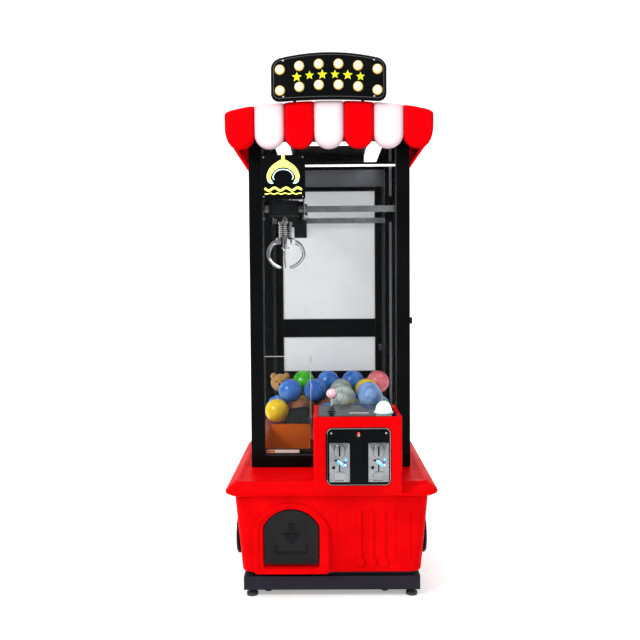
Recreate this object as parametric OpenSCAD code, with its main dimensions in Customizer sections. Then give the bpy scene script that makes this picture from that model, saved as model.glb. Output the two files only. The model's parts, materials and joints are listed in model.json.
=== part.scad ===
// Claw crane machine: a moulded base with a prize door, a glazed cabinet with a gantry and a
// three-finger claw, a coin console, a striped awning and a lit sign. Millimetres, +Z up, the
// origin on the floor under the middle of the machine, the player's side facing -Y.

/* [Base] */
// Half width of the base shell at its top
base_half = 318; // [300:1:320]
// How far each side of the base draws in towards the bottom
base_taper = 21; // [10:1:24]
// Height of the underside of the base shell
base_z0 = 84; // [80:1:88]
// Height where the base shell meets the rim
base_z1 = 345; // [340:1:350]
// Wall thickness of the moulded shells
shell_t = 6; // [4:0.5:8]
// Half width of the rim at its widest
rim_half = 348; // [335:1:350]
// Height of the rim's flat top
rim_z1 = 392; // [388:1:396]

/* [Cabinet] */
// Half width of the glazed cabinet
cab_half = 280; // [276:1:284]
// Front face of the cabinet
cab_y0 = -155; // [-160:1:-150]
// Rear face of the cabinet
cab_y1 = 385; // [380:1:390]
// Top of the cabinet frame
cab_z1 = 1592; // [1580:1:1600]
// Side of the square corner posts
post = 46; // [40:1:50]
// Thickness of the window panes
glass_t = 5; // [4:0.5:6]
// Height of the prize bed
bed_z = 490; // [480:1:500]

/* [Console] */
// Left side of the console
con_x0 = -57; // [-60:1:-48]
// Right side of the console
con_x1 = 226; // [220:1:232]
// Front face of the console
con_y0 = -410; // [-415:1:-405]
// Height of the console's top
con_z1 = 612; // [605:1:620]
// Underside of the console
con_z0 = 354; // [350:1:358]

/* [Prize door] */
// Middle of the prize door across the machine
door_x = -132; // [-136:1:-128]
// Clear width of the prize opening
open_w = 183; // [176:1:188]
// Sill of the prize opening
open_z0 = 106; // [102:1:110]
// Top of the arched opening
open_z1 = 302; // [296:1:306]

/* [Gantry] */
// Height of the middle of the fixed rails
rail_z = 1303; // [1298:1:1308]
// Place of the bridge across the machine at rest
bridge_x = -161; // [-165:1:-158]
// Place of the carriage along the bridge at rest
carriage_y = -22; // [-30:1:-16]
// Radius of the winch drum
drum_r = 20; // [16:1:22]
// Top of the claw head at rest
claw_top = 1276; // [1270:1:1280]

/* [Awning and sign] */
// Width of one awning stripe
stripe_w = 100; // [98:1:100]
// Front face of the awning
awn_y0 = -255; // [-260:1:-250]
// Height of the tips of the scallops
tip_z = 1484; // [1480:1:1488]
// Height of the awning's crown
awn_z1 = 1648; // [1640:1:1652]
// Half width of the sign board
sign_half = 191; // [186:1:196]
// Top of the sign
sign_z1 = 1800; // [1795:1:1805]

/* [Hidden] */
$fn = 48;
run = 0.05;   // radial clearance of every running fit
gap = 0.3;    // gap between neighbouring pieces that don't touch

plinth_half = 292;
plinth_y0 = -331;
plinth_y1 = 380;
plinth_z0 = 24;
plinth_z1 = 70;
foot_x = 266;
foot_y = [-306, 354];
caster_x = 196;
caster_y = [-284, 306];
wheel_r = 20;
wheel_w = 18;
axle_z = wheel_r + 2.5;
trail = 18;

base_y0 = -356;
base_y1 = 385;
rim_y0 = -385;
rim_y1 = 423;
rim_top_inset = 18;

chute_x0 = -230;
chute_x1 = -77;
chute_y0 = -133;
chute_y1 = 105;
guard_z1 = 760;
pocket_y0 = -326;
speaker_y = -177;
speaker_z = 168;
inlet_x = 150;
inlet_z = 240;
hinge_y = -341;
hinge_z = 276;

coin_x0 = -16;
coin_x1 = 190;
coin_z0 = 393;
coin_z1 = 579;
coin_y = con_y0;
plate_w = 65;
plate_h = 125;
plate_x = [26, 150];
plate_z = 468;

stick_x = 3;
stick_y = -307;
button_x = 173;
button_y = -325;

rail_y = [-100, 341];
truck_w = 106;
tube_dx = 42;
tube_r = 7;
tube_z = rail_z + 24;
drum_z = tube_z + 34;
cord_r = 1.5;
pivot_r = 30;
pivot_z = claw_top - 84;

knob_z = 905;
stripes = 7;
awn_t = 36;
awn_y1 = 381;
post_wall = 2.5;

// ---------- shared shapes ----------

// A slab from one corner to the other
module block(low, high) translate(low) cube(high - low);

// A rod along X, Y or Z, from a point
module rod_x(p, r, l) translate(p) rotate([0, 90, 0]) cylinder(r = r, h = l);
module rod_y(p, r, l) translate(p) rotate([-90, 0, 0]) cylinder(r = r, h = l);
module rod_z(p, r, l) translate(p) cylinder(r = r, h = l);

// A flat outline drawn in X and Z, given depth along Y
module upright(y, depth) translate([0, y + depth, 0]) rotate([90, 0, 0]) linear_extrude(depth) children();

// A rectangle with rounded corners
module rounded(x0, z0, x1, z1, r) {
  translate([x0 + r, z0]) square([x1 - x0 - 2 * r, z1 - z0]);
  translate([x0, z0 + r]) square([x1 - x0, z1 - z0 - 2 * r]);
  for (x = [x0 + r, x1 - r], z = [z0 + r, z1 - r]) translate([x, z]) circle(r);
}

// A block with upright rounded edges that draws in towards its bottom
module tapered(half, y0, y1, z0, z1, taper, r, foot = 10) {
  layers = [[z0, taper + foot], [z0 + foot, taper], [z1 - 1, 0]];
  hull() for (l = layers, x = [-1, 1], y = [0, 1])
    translate([x * (half - l[1] - r), y == 0 ? y0 + l[1] + r : y1 - r - (l[0] == z0 ? foot : 0), l[0]])
      cylinder(r = r, h = 1, $fn = 32);
}

// The arched outline of the prize opening, grown by g
module arch(g) {
  half = open_w / 2 + g;
  spring = open_z0 + 124;
  rise = open_z1 - spring + g;
  rounded(door_x - half, open_z0 - g, door_x + half, spring + 14, 13);
  intersection() {
    translate([door_x, spring + rise - (half * half + rise * rise) / (2 * rise)])
      circle((half * half + rise * rise) / (2 * rise), $fn = 96);
    translate([door_x - half, spring]) square([2 * half, rise]);
  }
}

// ---------- running gear ----------

module plinth() color("#2b2933") {
  difference() {
    union() {
      difference() {
        block([-plinth_half, plinth_y0, plinth_z0], [plinth_half, plinth_y1, plinth_z1]);
        block([4 - plinth_half, plinth_y0 + 4, plinth_z0 - 1],
              [plinth_half - 4, plinth_y1 - 4, plinth_z1 - 4]);
      }
      difference() {
        block([-268, -318, plinth_z1 - 2], [268, 366, base_z0]);
        block([-248, -298, plinth_z1 - 3], [248, 346, base_z0 + 1]);
        block([-262, pocket_y0 - 1, plinth_z1 - 3], [-20, -290, base_z0 + 1]);
      }
      for (x = [-foot_x, foot_x], y = foot_y) rod_z([x, y, 48], 10, plinth_z1 - 49);
      for (x = [-caster_x, caster_x]) rod_z([x, caster_y[0], 50], 12, plinth_z1 - 51);
    }
    for (x = [-foot_x, foot_x], y = foot_y) rod_z([x, y, 47], 5 + run, 17);
    for (x = [-caster_x, caster_x]) rod_z([x, caster_y[0], 49], 5 + run, 15);
  }
}

module levelling_feet() color("#1a1a1c")
  for (x = [-foot_x, foot_x], y = foot_y) {
    rod_z([x, y, 0], 19, 9);
    translate([x, y, 8.9]) cylinder(r1 = 17, r2 = 8, h = 7);
    rod_z([x, y, 12], 5, 50);
    translate([x, y, 40]) cylinder(r = 9, h = 8, $fn = 6);
  }

// Two cheeks and an axle pin, hanging from a round top at the origin, trailing towards -X
module caster_frame(top) {
  rod_z([0, 0, 44.5], 17, top - 44.5);
  for (y = [-13, 10.5]) upright(y, 2.5)
    polygon([[-17, 45.5], [14, 45.5], [-8, 16], [-trail - 7, 15], [-trail - 9, 28]]);
  rod_y([-trail, -13, axle_z], 4, 26);
}

module swivel_caster(x) translate([x, caster_y[0], 0]) {
  caster_frame(49.5);
  rod_z([0, 0, 49], 5, 13);
}

module front_caster_left() color("#3a3b40") swivel_caster(-caster_x);
module front_caster_right() color("#3a3b40") swivel_caster(caster_x);

module rear_caster_brackets() color("#3a3b40")
  for (x = [-caster_x, caster_x]) translate([x, caster_y[1], 0]) rotate([0, 0, 90]) caster_frame(plinth_z1 - 4);

// A tyre with rounded shoulders, lying along Y on its axle
module wheel() rotate([90, 0, 0]) rotate_extrude() difference() {
  union() {
    translate([4 + run, -wheel_w / 2]) square([wheel_r - 7 - run, wheel_w]);
    translate([4 + run, 3 - wheel_w / 2]) square([wheel_r - 4 - run, wheel_w - 6]);
    for (z = [-1, 1]) translate([wheel_r - 3, z * (wheel_w / 2 - 3)]) circle(3);
  }
}

module caster_wheel_fl() color("#17171a") translate([-caster_x - trail, caster_y[0], axle_z]) wheel();
module caster_wheel_fr() color("#17171a") translate([caster_x - trail, caster_y[0], axle_z]) wheel();
module caster_wheel_rl() color("#17171a")
  translate([-caster_x, caster_y[1] - trail, axle_z]) rotate([0, 0, 90]) wheel();
module caster_wheel_rr() color("#17171a")
  translate([caster_x, caster_y[1] - trail, axle_z]) rotate([0, 0, 90]) wheel();

// ---------- base ----------

// The prize surround's outline, as deep as the moulding and grown by g
module surround_outline(g) {
  half = 124 + g;
  rounded(door_x - half, 88 - g, door_x + half, 250, 8);
  intersection() {
    translate([door_x, 323 + g - (half * half + 83 * 83) / (2 * 83)])
      circle((half * half + 83 * 83) / (2 * 83), $fn = 96);
    translate([door_x - half, 240 + g]) square([2 * half, 83]);
  }
}

// Leaning half-round bars and round bosses moulded in the front, right of the prize door
module front_relief() {
  lean = atan(base_taper / (base_z1 - base_z0 - 10));
  for (x = [92, 131, 170]) {
    translate([x, base_y0 + base_taper - 1, base_z0 + 36]) rotate([lean, 0, 0]) cylinder(r = 9, h = 186);
    translate([x, base_y0 + base_taper + 6, base_z0 + 38]) rotate([90, 0, 0]) cylinder(r = 16, h = 14);
  }
}

module base_shell() color("#f01418") difference() {
  union() {
    tapered(base_half, base_y0, base_y1, base_z0, base_z1, base_taper, 34);
    front_relief();
  }
  tapered(base_half - shell_t, base_y0 + shell_t, base_y1 - shell_t,
          base_z0 + shell_t, base_z1 + 2, base_taper, 28);
  block([-248, -298, base_z0 - 1], [248, 346, base_z0 + 20]);
  upright(-390, 95) surround_outline(gap);
  block([-262, pocket_y0 - 1, base_z0 - 1], [-20, -290, base_z0 + 20]);
  rod_x([-350, speaker_y, speaker_z], 58, 700);
  block([inlet_x - 29, 370, inlet_z - 19], [inlet_x + 29, 400, inlet_z + 19]);
}

module base_rim() color("#f01418") {
  bands = [[base_z1, 14], [base_z1 + 12, 0], [rim_z1 - 1, rim_top_inset]];
  difference() {
    hull() for (b = bands, x = [-1, 1], y = [0, 1])
      translate([x * (rim_half - 30 - b[1]), y == 0 ? rim_y0 + 30 + b[1] : rim_y1 - 30 - b[1] / 2, b[0]])
        cylinder(r = 30, h = 1, $fn = 32);
    block([6 - base_half, base_y0 + 6, base_z1 - 2], [base_half - 6, base_y1 - 6, rim_z1 - shell_t]);
    block([-262, chute_y0 - 1, base_z1], [262, 378, rim_z1 + 5]);
    block([con_x0 - gap, rim_y0 - 5, base_z1 - 5], [con_x1 + gap, cab_y0, rim_z1 + 5]);
  }
}

// Round speaker pods, each let into a hole in the base's side
module side_speakers() color("#151517") for (s = [-1, 1]) translate([s * 296, speaker_y, speaker_z])
  rotate([0, s * 90, 0]) rotate_extrude($fn = 96)
    polygon([[0, -10], [57.7, -10], [57.7, 14], [62, 14], [65, 18], [70, 22], [70, 26], [65, 30], [0, 31]]);

module prize_surround() color("#e81a1a") difference() {
  union() {
    upright(-364, 36) surround_outline(0);
  }
  upright(-370, 45) arch(0);
  block([door_x - 88, -352, hinge_z - 12], [door_x + 88, -320, hinge_z + 9]);
  for (s = [-1, 1]) rod_x([door_x + s * 94 - 6.1, hinge_y, hinge_z], 4 + run, 12.2);
}

module prize_door() color("#2c2c30") {
  upright(-358, 5) intersection() {
    arch(-1.5);
    translate([door_x - 120, open_z0 + 13]) square([240, 300]);
  }
  rod_x([door_x - 99, hinge_y, hinge_z], 4, 198);
  for (x = [door_x - 46, door_x + 34]) block([x, -354, hinge_z - 9], [x + 12, hinge_y, hinge_z + 4]);
}

// A catching tray behind the flap, with a floor that slopes down to it
module prize_pocket() color("#1d1d20") {
  floor_line = [
    [pocket_y0 + gap, 91], [-240, 91], [chute_y1 + 1, 232],
    [chute_y1 + 1, 236], [-241, 95], [pocket_y0 + gap, 95]
  ];
  for (x = [-262, -30]) block([x, pocket_y0 + gap, 91], [x + 3, chute_y1 + 4, 345]);
  translate([-259, 0, 0]) rotate([90, 0, 90]) linear_extrude(229) polygon(floor_line);
  block([-259, chute_y1 + 1, 200], [-30, chute_y1 + 4, 345]);
  block([-259, pocket_y0 + gap, 341], [-30, chute_y0, 345]);
  block([chute_x1 + 3, chute_y0, 341], [-30, chute_y1 + 1, 345]);
  block([-259, chute_y0, 341], [chute_x0 - 3, chute_y1 + 1, 345]);
}

module chute_walls() color("#c2560c") {
  block([chute_x0 - 3, chute_y0, 345 + gap], [chute_x0, chute_y1, bed_z - 4]);
  block([chute_x1, chute_y0, 345 + gap], [chute_x1 + 3, chute_y1, bed_z - 4]);
  block([chute_x0 + gap, chute_y0, 345 + gap], [chute_x1 - gap, chute_y0 + 3, 440]);
  block([chute_x0 + gap, chute_y1 - 3, 345 + gap], [chute_x1 - gap, chute_y1, bed_z - 4]);
}

module chute_guard() color("#dfe8ea") {
  block([chute_x1, chute_y0, bed_z], [chute_x1 + 4, chute_y1 + 4, guard_z1]);
  block([3 - 262, chute_y1, bed_z], [chute_x1 - gap, chute_y1 + 4, guard_z1]);
  block([chute_x1 - 5, chute_y1 - 5, 640], [chute_x1 - gap, chute_y1 - gap, 656]);
}

// Floor of the prize bay, in strips round the chute and between the corner posts
module prize_bed() color("#8a1c1c") {
  inside = cab_half - post - gap;
  side = cab_half - 17.7;
  front_post = cab_y0 + post + gap;
  rear_post = cab_y1 - post - gap;
  block([-side, chute_y1 + gap, bed_z - 4], [side, rear_post, bed_z]);
  block([-inside, rear_post + gap, bed_z - 4], [inside, cab_y1 - 24, bed_z]);
  block([chute_x1 + 3 + gap, front_post, bed_z - 4], [side, chute_y1, bed_z]);
  block([chute_x1 + 3 + gap, chute_y0, bed_z - 4], [inside, front_post - gap, bed_z]);
  block([-side, front_post, bed_z - 4], [chute_x0 - 3 - gap, chute_y1, bed_z]);
  block([-200, cab_y1 - 30, bed_z], [200, cab_y1 - 26, bed_z + 155]);
}

// ---------- console ----------

module console_shell() color("#f01418") difference() {
  hull() {
    for (x = [con_x0 + 10, con_x1 - 10]) {
      translate([x, con_y0 + 10, con_z0 + 36]) cylinder(r = 10, h = con_z1 - con_z0 - 38, $fn = 32);
      translate([x, con_y0 + 12, con_z1 - 9]) cylinder(r = 9, h = 9, $fn = 32);
      translate([x, con_y0 + 34, con_z0]) cylinder(r = 10, h = 10, $fn = 32);
    }
    block([con_x0, cab_y0 - 20, con_z0], [con_x1, cab_y0 - gap, con_z1]);
  }
  block([con_x0 + 6, con_y0 + 6, con_z0 + 30], [con_x1 - 6, cab_y0 + 1, con_z1 - 8]);
  block([con_x0 + 6, con_y0 + 60, con_z0 - 1], [con_x1 - 6, cab_y0 + 1, con_z0 + 40]);
  block([con_x0 + 16, con_y0 + 18, con_z1 - 3], [con_x1 - 16, cab_y0 - 6, con_z1 + 1]);
  block([con_x0 + 24, con_y0 + 26, con_z1 - 12], [con_x1 - 24, cab_y0 - 14, con_z1 + 1]);
  upright(con_y0 - 1, 20) rounded(coin_x0, coin_z0, coin_x1, coin_z1, 19);
}

module console_top() color("#0d0f12") difference() {
  block([con_x0 + 16 + gap, con_y0 + 18 + gap, con_z1 - 3], [con_x1 - 16 - gap, cab_y0 - 6 - gap, con_z1 + 1]);
  rod_z([stick_x, stick_y, con_z1 - 5], 15, 10);
  rod_z([button_x, button_y, con_z1 - 5], 14, 10);
}

// A hanging bracket with the socket that the stick's ball sits in
module joystick_mount() color("#9aa0a6") translate([stick_x, stick_y, con_z1]) difference() {
  union() {
    block([-29, -26, -8], [29, 26, -3]);
    for (x = [-29, 25]) block([x, -26, -44], [x + 4, 26, -7]);
    for (x = [-29, 21]) rod_x([x, 0, -26], 9, 8);
  }
  rod_z([0, 0, -9], 15, 8);
  rod_x([-34, 0, -26], 4 + run, 68);
}

// Ring that tips forward and back between the bracket's ears and carries the stick across it
module joystick_gimbal() color("#c8ccd0") translate([stick_x, stick_y, con_z1 - 26]) {
  difference() {
    block([-18, -18, -7], [18, 18, 7]);
    block([-12, -12, -8], [12, 12, 8]);
    rod_y([0, -19, 0], 3 + run, 38);
  }
  rod_x([-28, 0, 0], 4, 11);
  rod_x([17, 0, 0], 4, 11);
}

module joystick_stick() color("#d8dce2") translate([stick_x, stick_y, con_z1]) {
  rod_z([0, 0, -58], 4, 96);
  rod_z([0, 0, -34], 8, 16);
  rod_y([0, -17.8, -26], 3, 35.6);
  rod_z([0, 0, 9.5], 16, 2);
  translate([0, 0, 61]) sphere(r = 17.5);
  rod_z([0, 0, 37], 7, 10);
}

module button_bezel() color("#e8f4f4") translate([button_x, button_y, con_z1 + 1]) {
  difference() {
    cylinder(r = 32, h = 5);
    translate([0, 0, -1]) cylinder(r = 27 + run, h = 7);
  }
  difference() {
    translate([0, 0, -32]) cylinder(r = 13.5, h = 32);
    translate([0, 0, -30]) cylinder(r = 9 + run, h = 33);
  }
  block([-11, -6, -48], [11, 6, -31.9]);
  for (x = [-30, 12]) block([x, -4, 0], [x + 18, 4, 1.2]);
}

module button_dome() color("#ffffff") translate([button_x, button_y, con_z1 + 1]) {
  rotate_extrude($fn = 72) intersection() {
    translate([0, 9]) circle(r = 28.5, $fn = 96);
    translate([0, 5.2]) square([27, 34]);
  }
  rod_z([0, 0, -20], 9, 27);
}

module coin_door() color("#0f1012") {
  difference() {
    upright(coin_y - 1, 4) rounded(coin_x0 + gap, coin_z0 + gap, coin_x1 - 2 * gap, coin_z1 - gap, 18.7);
    rod_y([(coin_x0 + coin_x1) / 2, coin_y - 2, coin_z1 - 24], 9 + run, 8);
    for (x = plate_x) {
      upright(coin_y - 2, 8) rounded(x - 28, plate_z - 58, x + 28, plate_z + 58, 4);
    }
  }
  upright(coin_y + 3, 2) difference() {
    rounded(coin_x0 + 3, coin_z0 + 3, coin_x1 - 3, coin_z1 - 3, 16);
    rounded(coin_x0 + 12, coin_z0 + 12, coin_x1 - 12, coin_z1 - 12, 8);
  }
  rod_z([coin_x0 + 1, coin_y - 3, coin_z0 + 20], 2.5, coin_z1 - coin_z0 - 40);
}

module coin_lock() color("#c9ced4") translate([(coin_x0 + coin_x1) / 2, coin_y, coin_z1 - 24]) {
  difference() {
    rod_y([0, -4, 0], 9, 26);
    block([-1, -5, -5], [1, -1, 5]);
  }
  rod_y([0, -4.5, 0], 4, 1);
  block([-5, 17, -30], [5, 20, 5]);
}

// One coin acceptor: steel plate, oval coin entry, return cup frame and the mechanism behind
module coin_plate(x) translate([x, coin_y, plate_z]) {
  difference() {
    union() {
      upright(-4, 3) rounded(-plate_w / 2, -plate_h / 2, plate_w / 2, plate_h / 2, 3);
      upright(-9, 6) intersection() {
        translate([-9, 37]) circle(25.5, $fn = 72);
        translate([9, 37]) circle(25.5, $fn = 72);
      }
      block([-27, -1, -56], [27, 46, 56]);
    }
    block([-2.5, -12, 20], [2.5, 30, 54]);
    block([-2, -12, -30], [2, 30, -6]);
    block([-16, -12, -57], [16, 26, -33]);
    rod_y([18, -12, -6], 6.5 + run, 30);
    for (s = [-1, 1]) rod_x([s * 19 - 3.2, 2, -35], 1.5 + run, 6.4);
    block([-16.2, -12, -37], [16.2, 6, -33]);
  }
  for (x = [-28, 28], z = [-57, 57]) rod_y([x, -5.5, z], 3, 2);
}

module coin_plates() color("#b9bdc2") for (x = plate_x) coin_plate(x);

// A round plunger that the player presses to get a coin back
module return_button(x) translate([x + 18, coin_y, plate_z - 6]) {
  rod_y([0, -12, 0], 6.5, 24);
  rod_y([0, -13, 0], 5, 2);
}

module return_button_left() color("#2f5fd0") return_button(plate_x[0]);
module return_button_right() color("#2f5fd0") return_button(plate_x[1]);

// A small flap on a pin over the coin return cup
module return_flap(x) translate([x, coin_y, plate_z - 35]) {
  rod_x([-21, 2, 0], 1.5, 42);
  block([-15, 0.8, -21], [15, 2.8, 1]);
}

module return_flap_left() color("#8f959b") return_flap(plate_x[0]);
module return_flap_right() color("#8f959b") return_flap(plate_x[1]);

// ---------- cabinet ----------

frame_z0 = rim_z1;
head_z0 = 1540;
sill_z = 431;

module cabinet_frame() color("#0e1012") {
  for (x = [-cab_half, cab_half - post], y = [cab_y0, cab_y1 - post]) difference() {
    block([x, y, frame_z0], [x + post, y + post, cab_z1]);
    block([x + post_wall, y + post_wall, frame_z0 - 1],
          [x + post - post_wall, y + post - post_wall, cab_z1 + 1]);
  }
  for (z = [[frame_z0, sill_z], [head_z0, cab_z1]]) {
    block([post + gap - cab_half, cab_y0, z[0]], [cab_half - post - gap, cab_y0 + 12, z[1]]);
    for (x = [-cab_half, cab_half - 12])
      block([x, cab_y0 + post + gap, z[0]], [x + 12, cab_y1 - post - gap, z[1]]);
  }
  block([post + gap - cab_half, cab_y1 - 12, frame_z0], [cab_half - post - gap, cab_y1, sill_z]);
  block([post + gap - cab_half, cab_y1 - 12, 1500], [cab_half - post - gap, cab_y1, cab_z1]);
  block([cab_half - 12, cab_y0 + post + gap, head_z0 - 63], [cab_half, cab_y1 - post - gap, head_z0 - gap]);
}

module fixed_glass() color("#bcd0d4") {
  block([post + gap - cab_half, cab_y0 + 12, sill_z - 12],
        [cab_half - post - gap, cab_y0 + 12 + glass_t, head_z0 + 12]);
  block([12 - cab_half, cab_y0 + post + gap, sill_z - 12],
        [12 + glass_t - cab_half, cab_y1 - post - gap, head_z0 + 12]);
}

// Openable window on the right: a slim frame of four bars, pivoted at its rear edge
side_y0 = cab_y0 + post + 3;
side_y1 = cab_y1 - post - 3;
side_z0 = sill_z + 3;
side_z1 = head_z0 - 66;

module side_door() color("#111315") difference() {
  union() {
    for (y = [side_y0, side_y1 - 26]) block([cab_half - 16, y, side_z0], [cab_half, y + 26, side_z1]);
    for (z = [side_z0, side_z1 - 26])
      block([cab_half - 16, side_y0 + 26 + gap, z], [cab_half, side_y1 - 26 - gap, z + 26]);
    for (z = [560, 1360]) rod_z([cab_half + 5, side_y1 - 6, z], 6, 50);
    for (z = [560, 1360]) block([cab_half - 4, side_y1 - 12, z], [cab_half + 5, side_y1 - 2, z + 50]);
  }
  rod_x([cab_half - 17, side_y0 + 13, knob_z], 8 + run, 30);
}

module side_door_glass() color("#bcd0d4")
  block([cab_half - 10, side_y0 + 26 + gap, side_z0 + 26 + gap],
        [cab_half - 10 + glass_t, side_y1 - 26 - gap, side_z1 - 26 - gap]);

module side_door_latch() color("#17181a") translate([cab_half, side_y0 + 13, knob_z]) {
  rod_x([-20, 0, 0], 8, 26);
  rod_x([1, 0, 0], 12, 13);
  block([-23, -6, -14], [-19.5, 6, 6]);
}

// Rear service door: a frame of two stiles and three rails
rear_x = cab_half - post - 3;
module rear_door() color("#121416") difference() {
  union() {
    for (x = [-rear_x, 195]) block([x, cab_y1 - 20, sill_z + 3], [x + rear_x - 195, cab_y1, 1496]);
    for (z = [[sill_z + 3, 672], [819, 892], [1430, 1496]])
      block([gap - 195, cab_y1 - 20, z[0]], [195 - gap, cab_y1, z[1]]);
    for (z = [520, 940, 1360]) rod_z([-rear_x - 2, cab_y1 + 6.5, z], 6, 60);
    for (z = [520, 940, 1360]) block([-rear_x - 2, cab_y1 - 4, z], [-rear_x + 16, cab_y1 + 6, z + 60]);
  }
  rod_y([214, cab_y1 - 21, 778], 9 + run, 30);
}

module rear_door_windows() color("#dfe3e4") for (z = [[672, 819], [892, 1430]])
  block([gap - 195, cab_y1 - 12, z[0] + gap], [195 - gap, cab_y1 - 7, z[1] - gap]);

module rear_door_lock() color("#c9ced4") translate([214, cab_y1, 778]) {
  rod_y([0, -26, 0], 9, 30);
  rod_y([0, 1, 0], 12, 10);
  block([-6, -29, -18], [6, -25.5, 6]);
}

module roof() color("#141517") {
  block([-cab_half, cab_y0, cab_z1], [cab_half, cab_y1, cab_z1 + 20]);
  block([-268, cab_y0 + post + gap, 1560], [268, cab_y1 - post - gap, 1566]);
  for (x = [-120, 110]) block([x, awn_y0 + 36, cab_z1 + 20], [x + 10, cab_y0 + 60, cab_z1 + 32]);
}

module ceiling_lights() color("#ffffff") {
  for (x = [-195, 145]) block([x, -100, 1536], [x + 50, 330, 1560]);
  for (y = [-100, 280]) block([-144.7, y, 1536], [144.7, y + 50, 1560]);
  block([gap - 234, -126, 1450], [234 - gap, -114, 1464]);
}

// ---------- gantry and claw ----------

module gantry_rails() color("#a9afb5") {
  block([-260, rail_y[0] - 8, rail_z - 11], [260, rail_y[0] + 8, rail_z + 11]);
  for (x = [-258, 238]) block([x, cab_y0 + post, rail_z - 9], [x + 20, rail_y[0] - 7, rail_z + 9]);
  block([post - cab_half, rail_y[1] - 8, rail_z - 11], [cab_half - post, rail_y[1] + 8, rail_z + 11]);
}

// One end truck that straddles a rail from above
module truck(y) difference() {
  block([-truck_w / 2, y - 24, rail_z - 24], [truck_w / 2, y + 24, rail_z + 30]);
  block([-truck_w / 2 - 1, y - 9, rail_z - 25], [truck_w / 2 + 1, y + 9, rail_z + 12]);
}

module bridge() color("#1b1d20") translate([bridge_x, 0, 0]) {
  for (y = rail_y) truck(y);
  for (x = [-tube_dx, tube_dx]) rod_y([x, rail_y[0] + 23, tube_z - 6], tube_r, rail_y[1] - rail_y[0] - 46);
  difference() {
    for (s = [-1, 1])
      block([s * 70 - 1.5, rail_y[0] - 26, rail_z - 30], [s * 70 + 1.5, rail_y[0] + 24, rail_z + 36]);
    block([-80, rail_y[0] - 9, rail_z - 31], [80, rail_y[0] + 9, rail_z + 12]);
  }
  for (s = [-1, 1]) block([s * 61 - 9, rail_y[0] - 8, rail_z + 16], [s * 61 + 9, rail_y[0] + 8, rail_z + 28]);
}

module carriage() color("#33363b") translate([bridge_x, carriage_y, 0]) difference() {
  union() {
    block([-58, -40, tube_z + 2], [58, 46, tube_z + 8]);
    for (x = [-tube_dx, tube_dx]) block([x - 13, -40, tube_z - 18], [x + 13, 46, tube_z + 3]);
    for (x = [-26, 22]) block([x, -34, tube_z + 7], [x + 4, 4, drum_z + 14]);
    rod_x([25.5, -drum_r, drum_z], 16, 34);
  }
  for (x = [-tube_dx, tube_dx]) rod_y([x, -41, tube_z - 6], tube_r + run, 90);
  rod_z([0, 0, tube_z], 8, 12);
  rod_x([-27, -drum_r, drum_z], 4 + run, 56);
}

module winch_drum() color("#c4b48a") translate([bridge_x, carriage_y - drum_r, drum_z]) {
  rod_x([-12, 0, 0], drum_r - cord_r - 0.1, 24);
  for (x = [-15, 12]) rod_x([x, 0, 0], drum_r + 5, 3);
  rod_x([-26, 0, 0], 4, 54);
}

module hoist_cord() color("#e9e4d4") rod_z([bridge_x, carriage_y, claw_top], cord_r, drum_z - claw_top);

module claw_head() color("#d3d7dc") translate([bridge_x, carriage_y, 0]) difference() {
  union() {
    rod_z([0, 0, claw_top - 12], 9, 12);
    rod_z([0, 0, claw_top - 18], 26, 7);
    rod_z([0, 0, claw_top - 70], 23, 53);
    rod_z([0, 0, claw_top - 76], 34, 7);
    for (a = [0, 120, 240]) rotate([0, 0, a - 90]) for (y = [-7, 4])
      block([pivot_r - 7, y, pivot_z - 6], [pivot_r + 7, y + 3, claw_top - 75]);
    for (a = [0, 120, 240]) rotate([0, 0, a - 90]) rod_y([pivot_r, -7, pivot_z], 2.5, 14);
  }
  rod_z([0, 0, claw_top - 80], 6 + run, 40);
}

// Solenoid plunger with the disc that the finger toes hang from
module claw_plunger() color("#9da3aa") translate([bridge_x, carriage_y, 0]) {
  rod_z([0, 0, claw_top - 104], 6, 60);
  rod_z([0, 0, claw_top - 108], 14, 5);
}

finger_profile = [
  [-10, 4], [6, 5], [30, -4], [44, -26], [47, -42], [34, -66], [6, -88], [-13, -95],
  [-14, -91], [3, -82], [27, -60], [37, -41], [35, -29], [23, -12], [4, -5], [-11, -3]
];

// One chrome finger, drawn in the plane of its swing and turned round the head
module claw_finger(turn) color("#dfe3e7") translate([bridge_x, carriage_y, pivot_z]) rotate([0, 0, turn - 90])
  translate([pivot_r, 0, 0]) difference() {
    union() {
      translate([0, 3, 0]) rotate([90, 0, 0]) linear_extrude(6) polygon(finger_profile);
      rod_y([0, -3, 0], 6.5, 6);
    }
    rod_y([0, -4, 0], 2.5 + run, 8);
  }

module claw_finger_1() claw_finger(0);
module claw_finger_2() claw_finger(120);
module claw_finger_3() claw_finger(240);

// ---------- awning and sign ----------

// One stripe with a rounded scallop, hanging in the XZ plane and centred on x = 0
module stripe(top) {
  half = stripe_w / 2 - gap / 2;
  rise = 42;
  r = (half * half + rise * rise) / (2 * rise);
  intersection() {
    translate([-half, tip_z]) square([2 * half, top - tip_z]);
    union() {
      translate([-half, tip_z + rise]) square([2 * half, top - tip_z]);
      translate([0, tip_z + r]) circle(r, $fn = 96);
    }
  }
}

// The front stripes whose number has the given parity
module awning_stripes(odd) for (i = [0 : stripes - 1]) if (i % 2 == odd)
  translate([(i - 3) * stripe_w, 0, 0]) upright(awn_y0, awn_t) stripe(awn_z1 - 2.5 * abs(i - 3) * abs(i - 3));

// Red front stripes and a plain red panel along each side, its hem tucked in
module awning_red() color("#ff0a14") {
  awning_stripes(0);
  for (s = [-1, 1]) hull() {
    block([s * 332 - 18, awn_y0 + awn_t + gap, 1540], [s * 332 + 18, awn_y1, awn_z1 - 24]);
    block([s * 310 - 8, awn_y0 + awn_t + gap, 1494], [s * 310 + 8, awn_y1, 1500]);
  }
}

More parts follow.
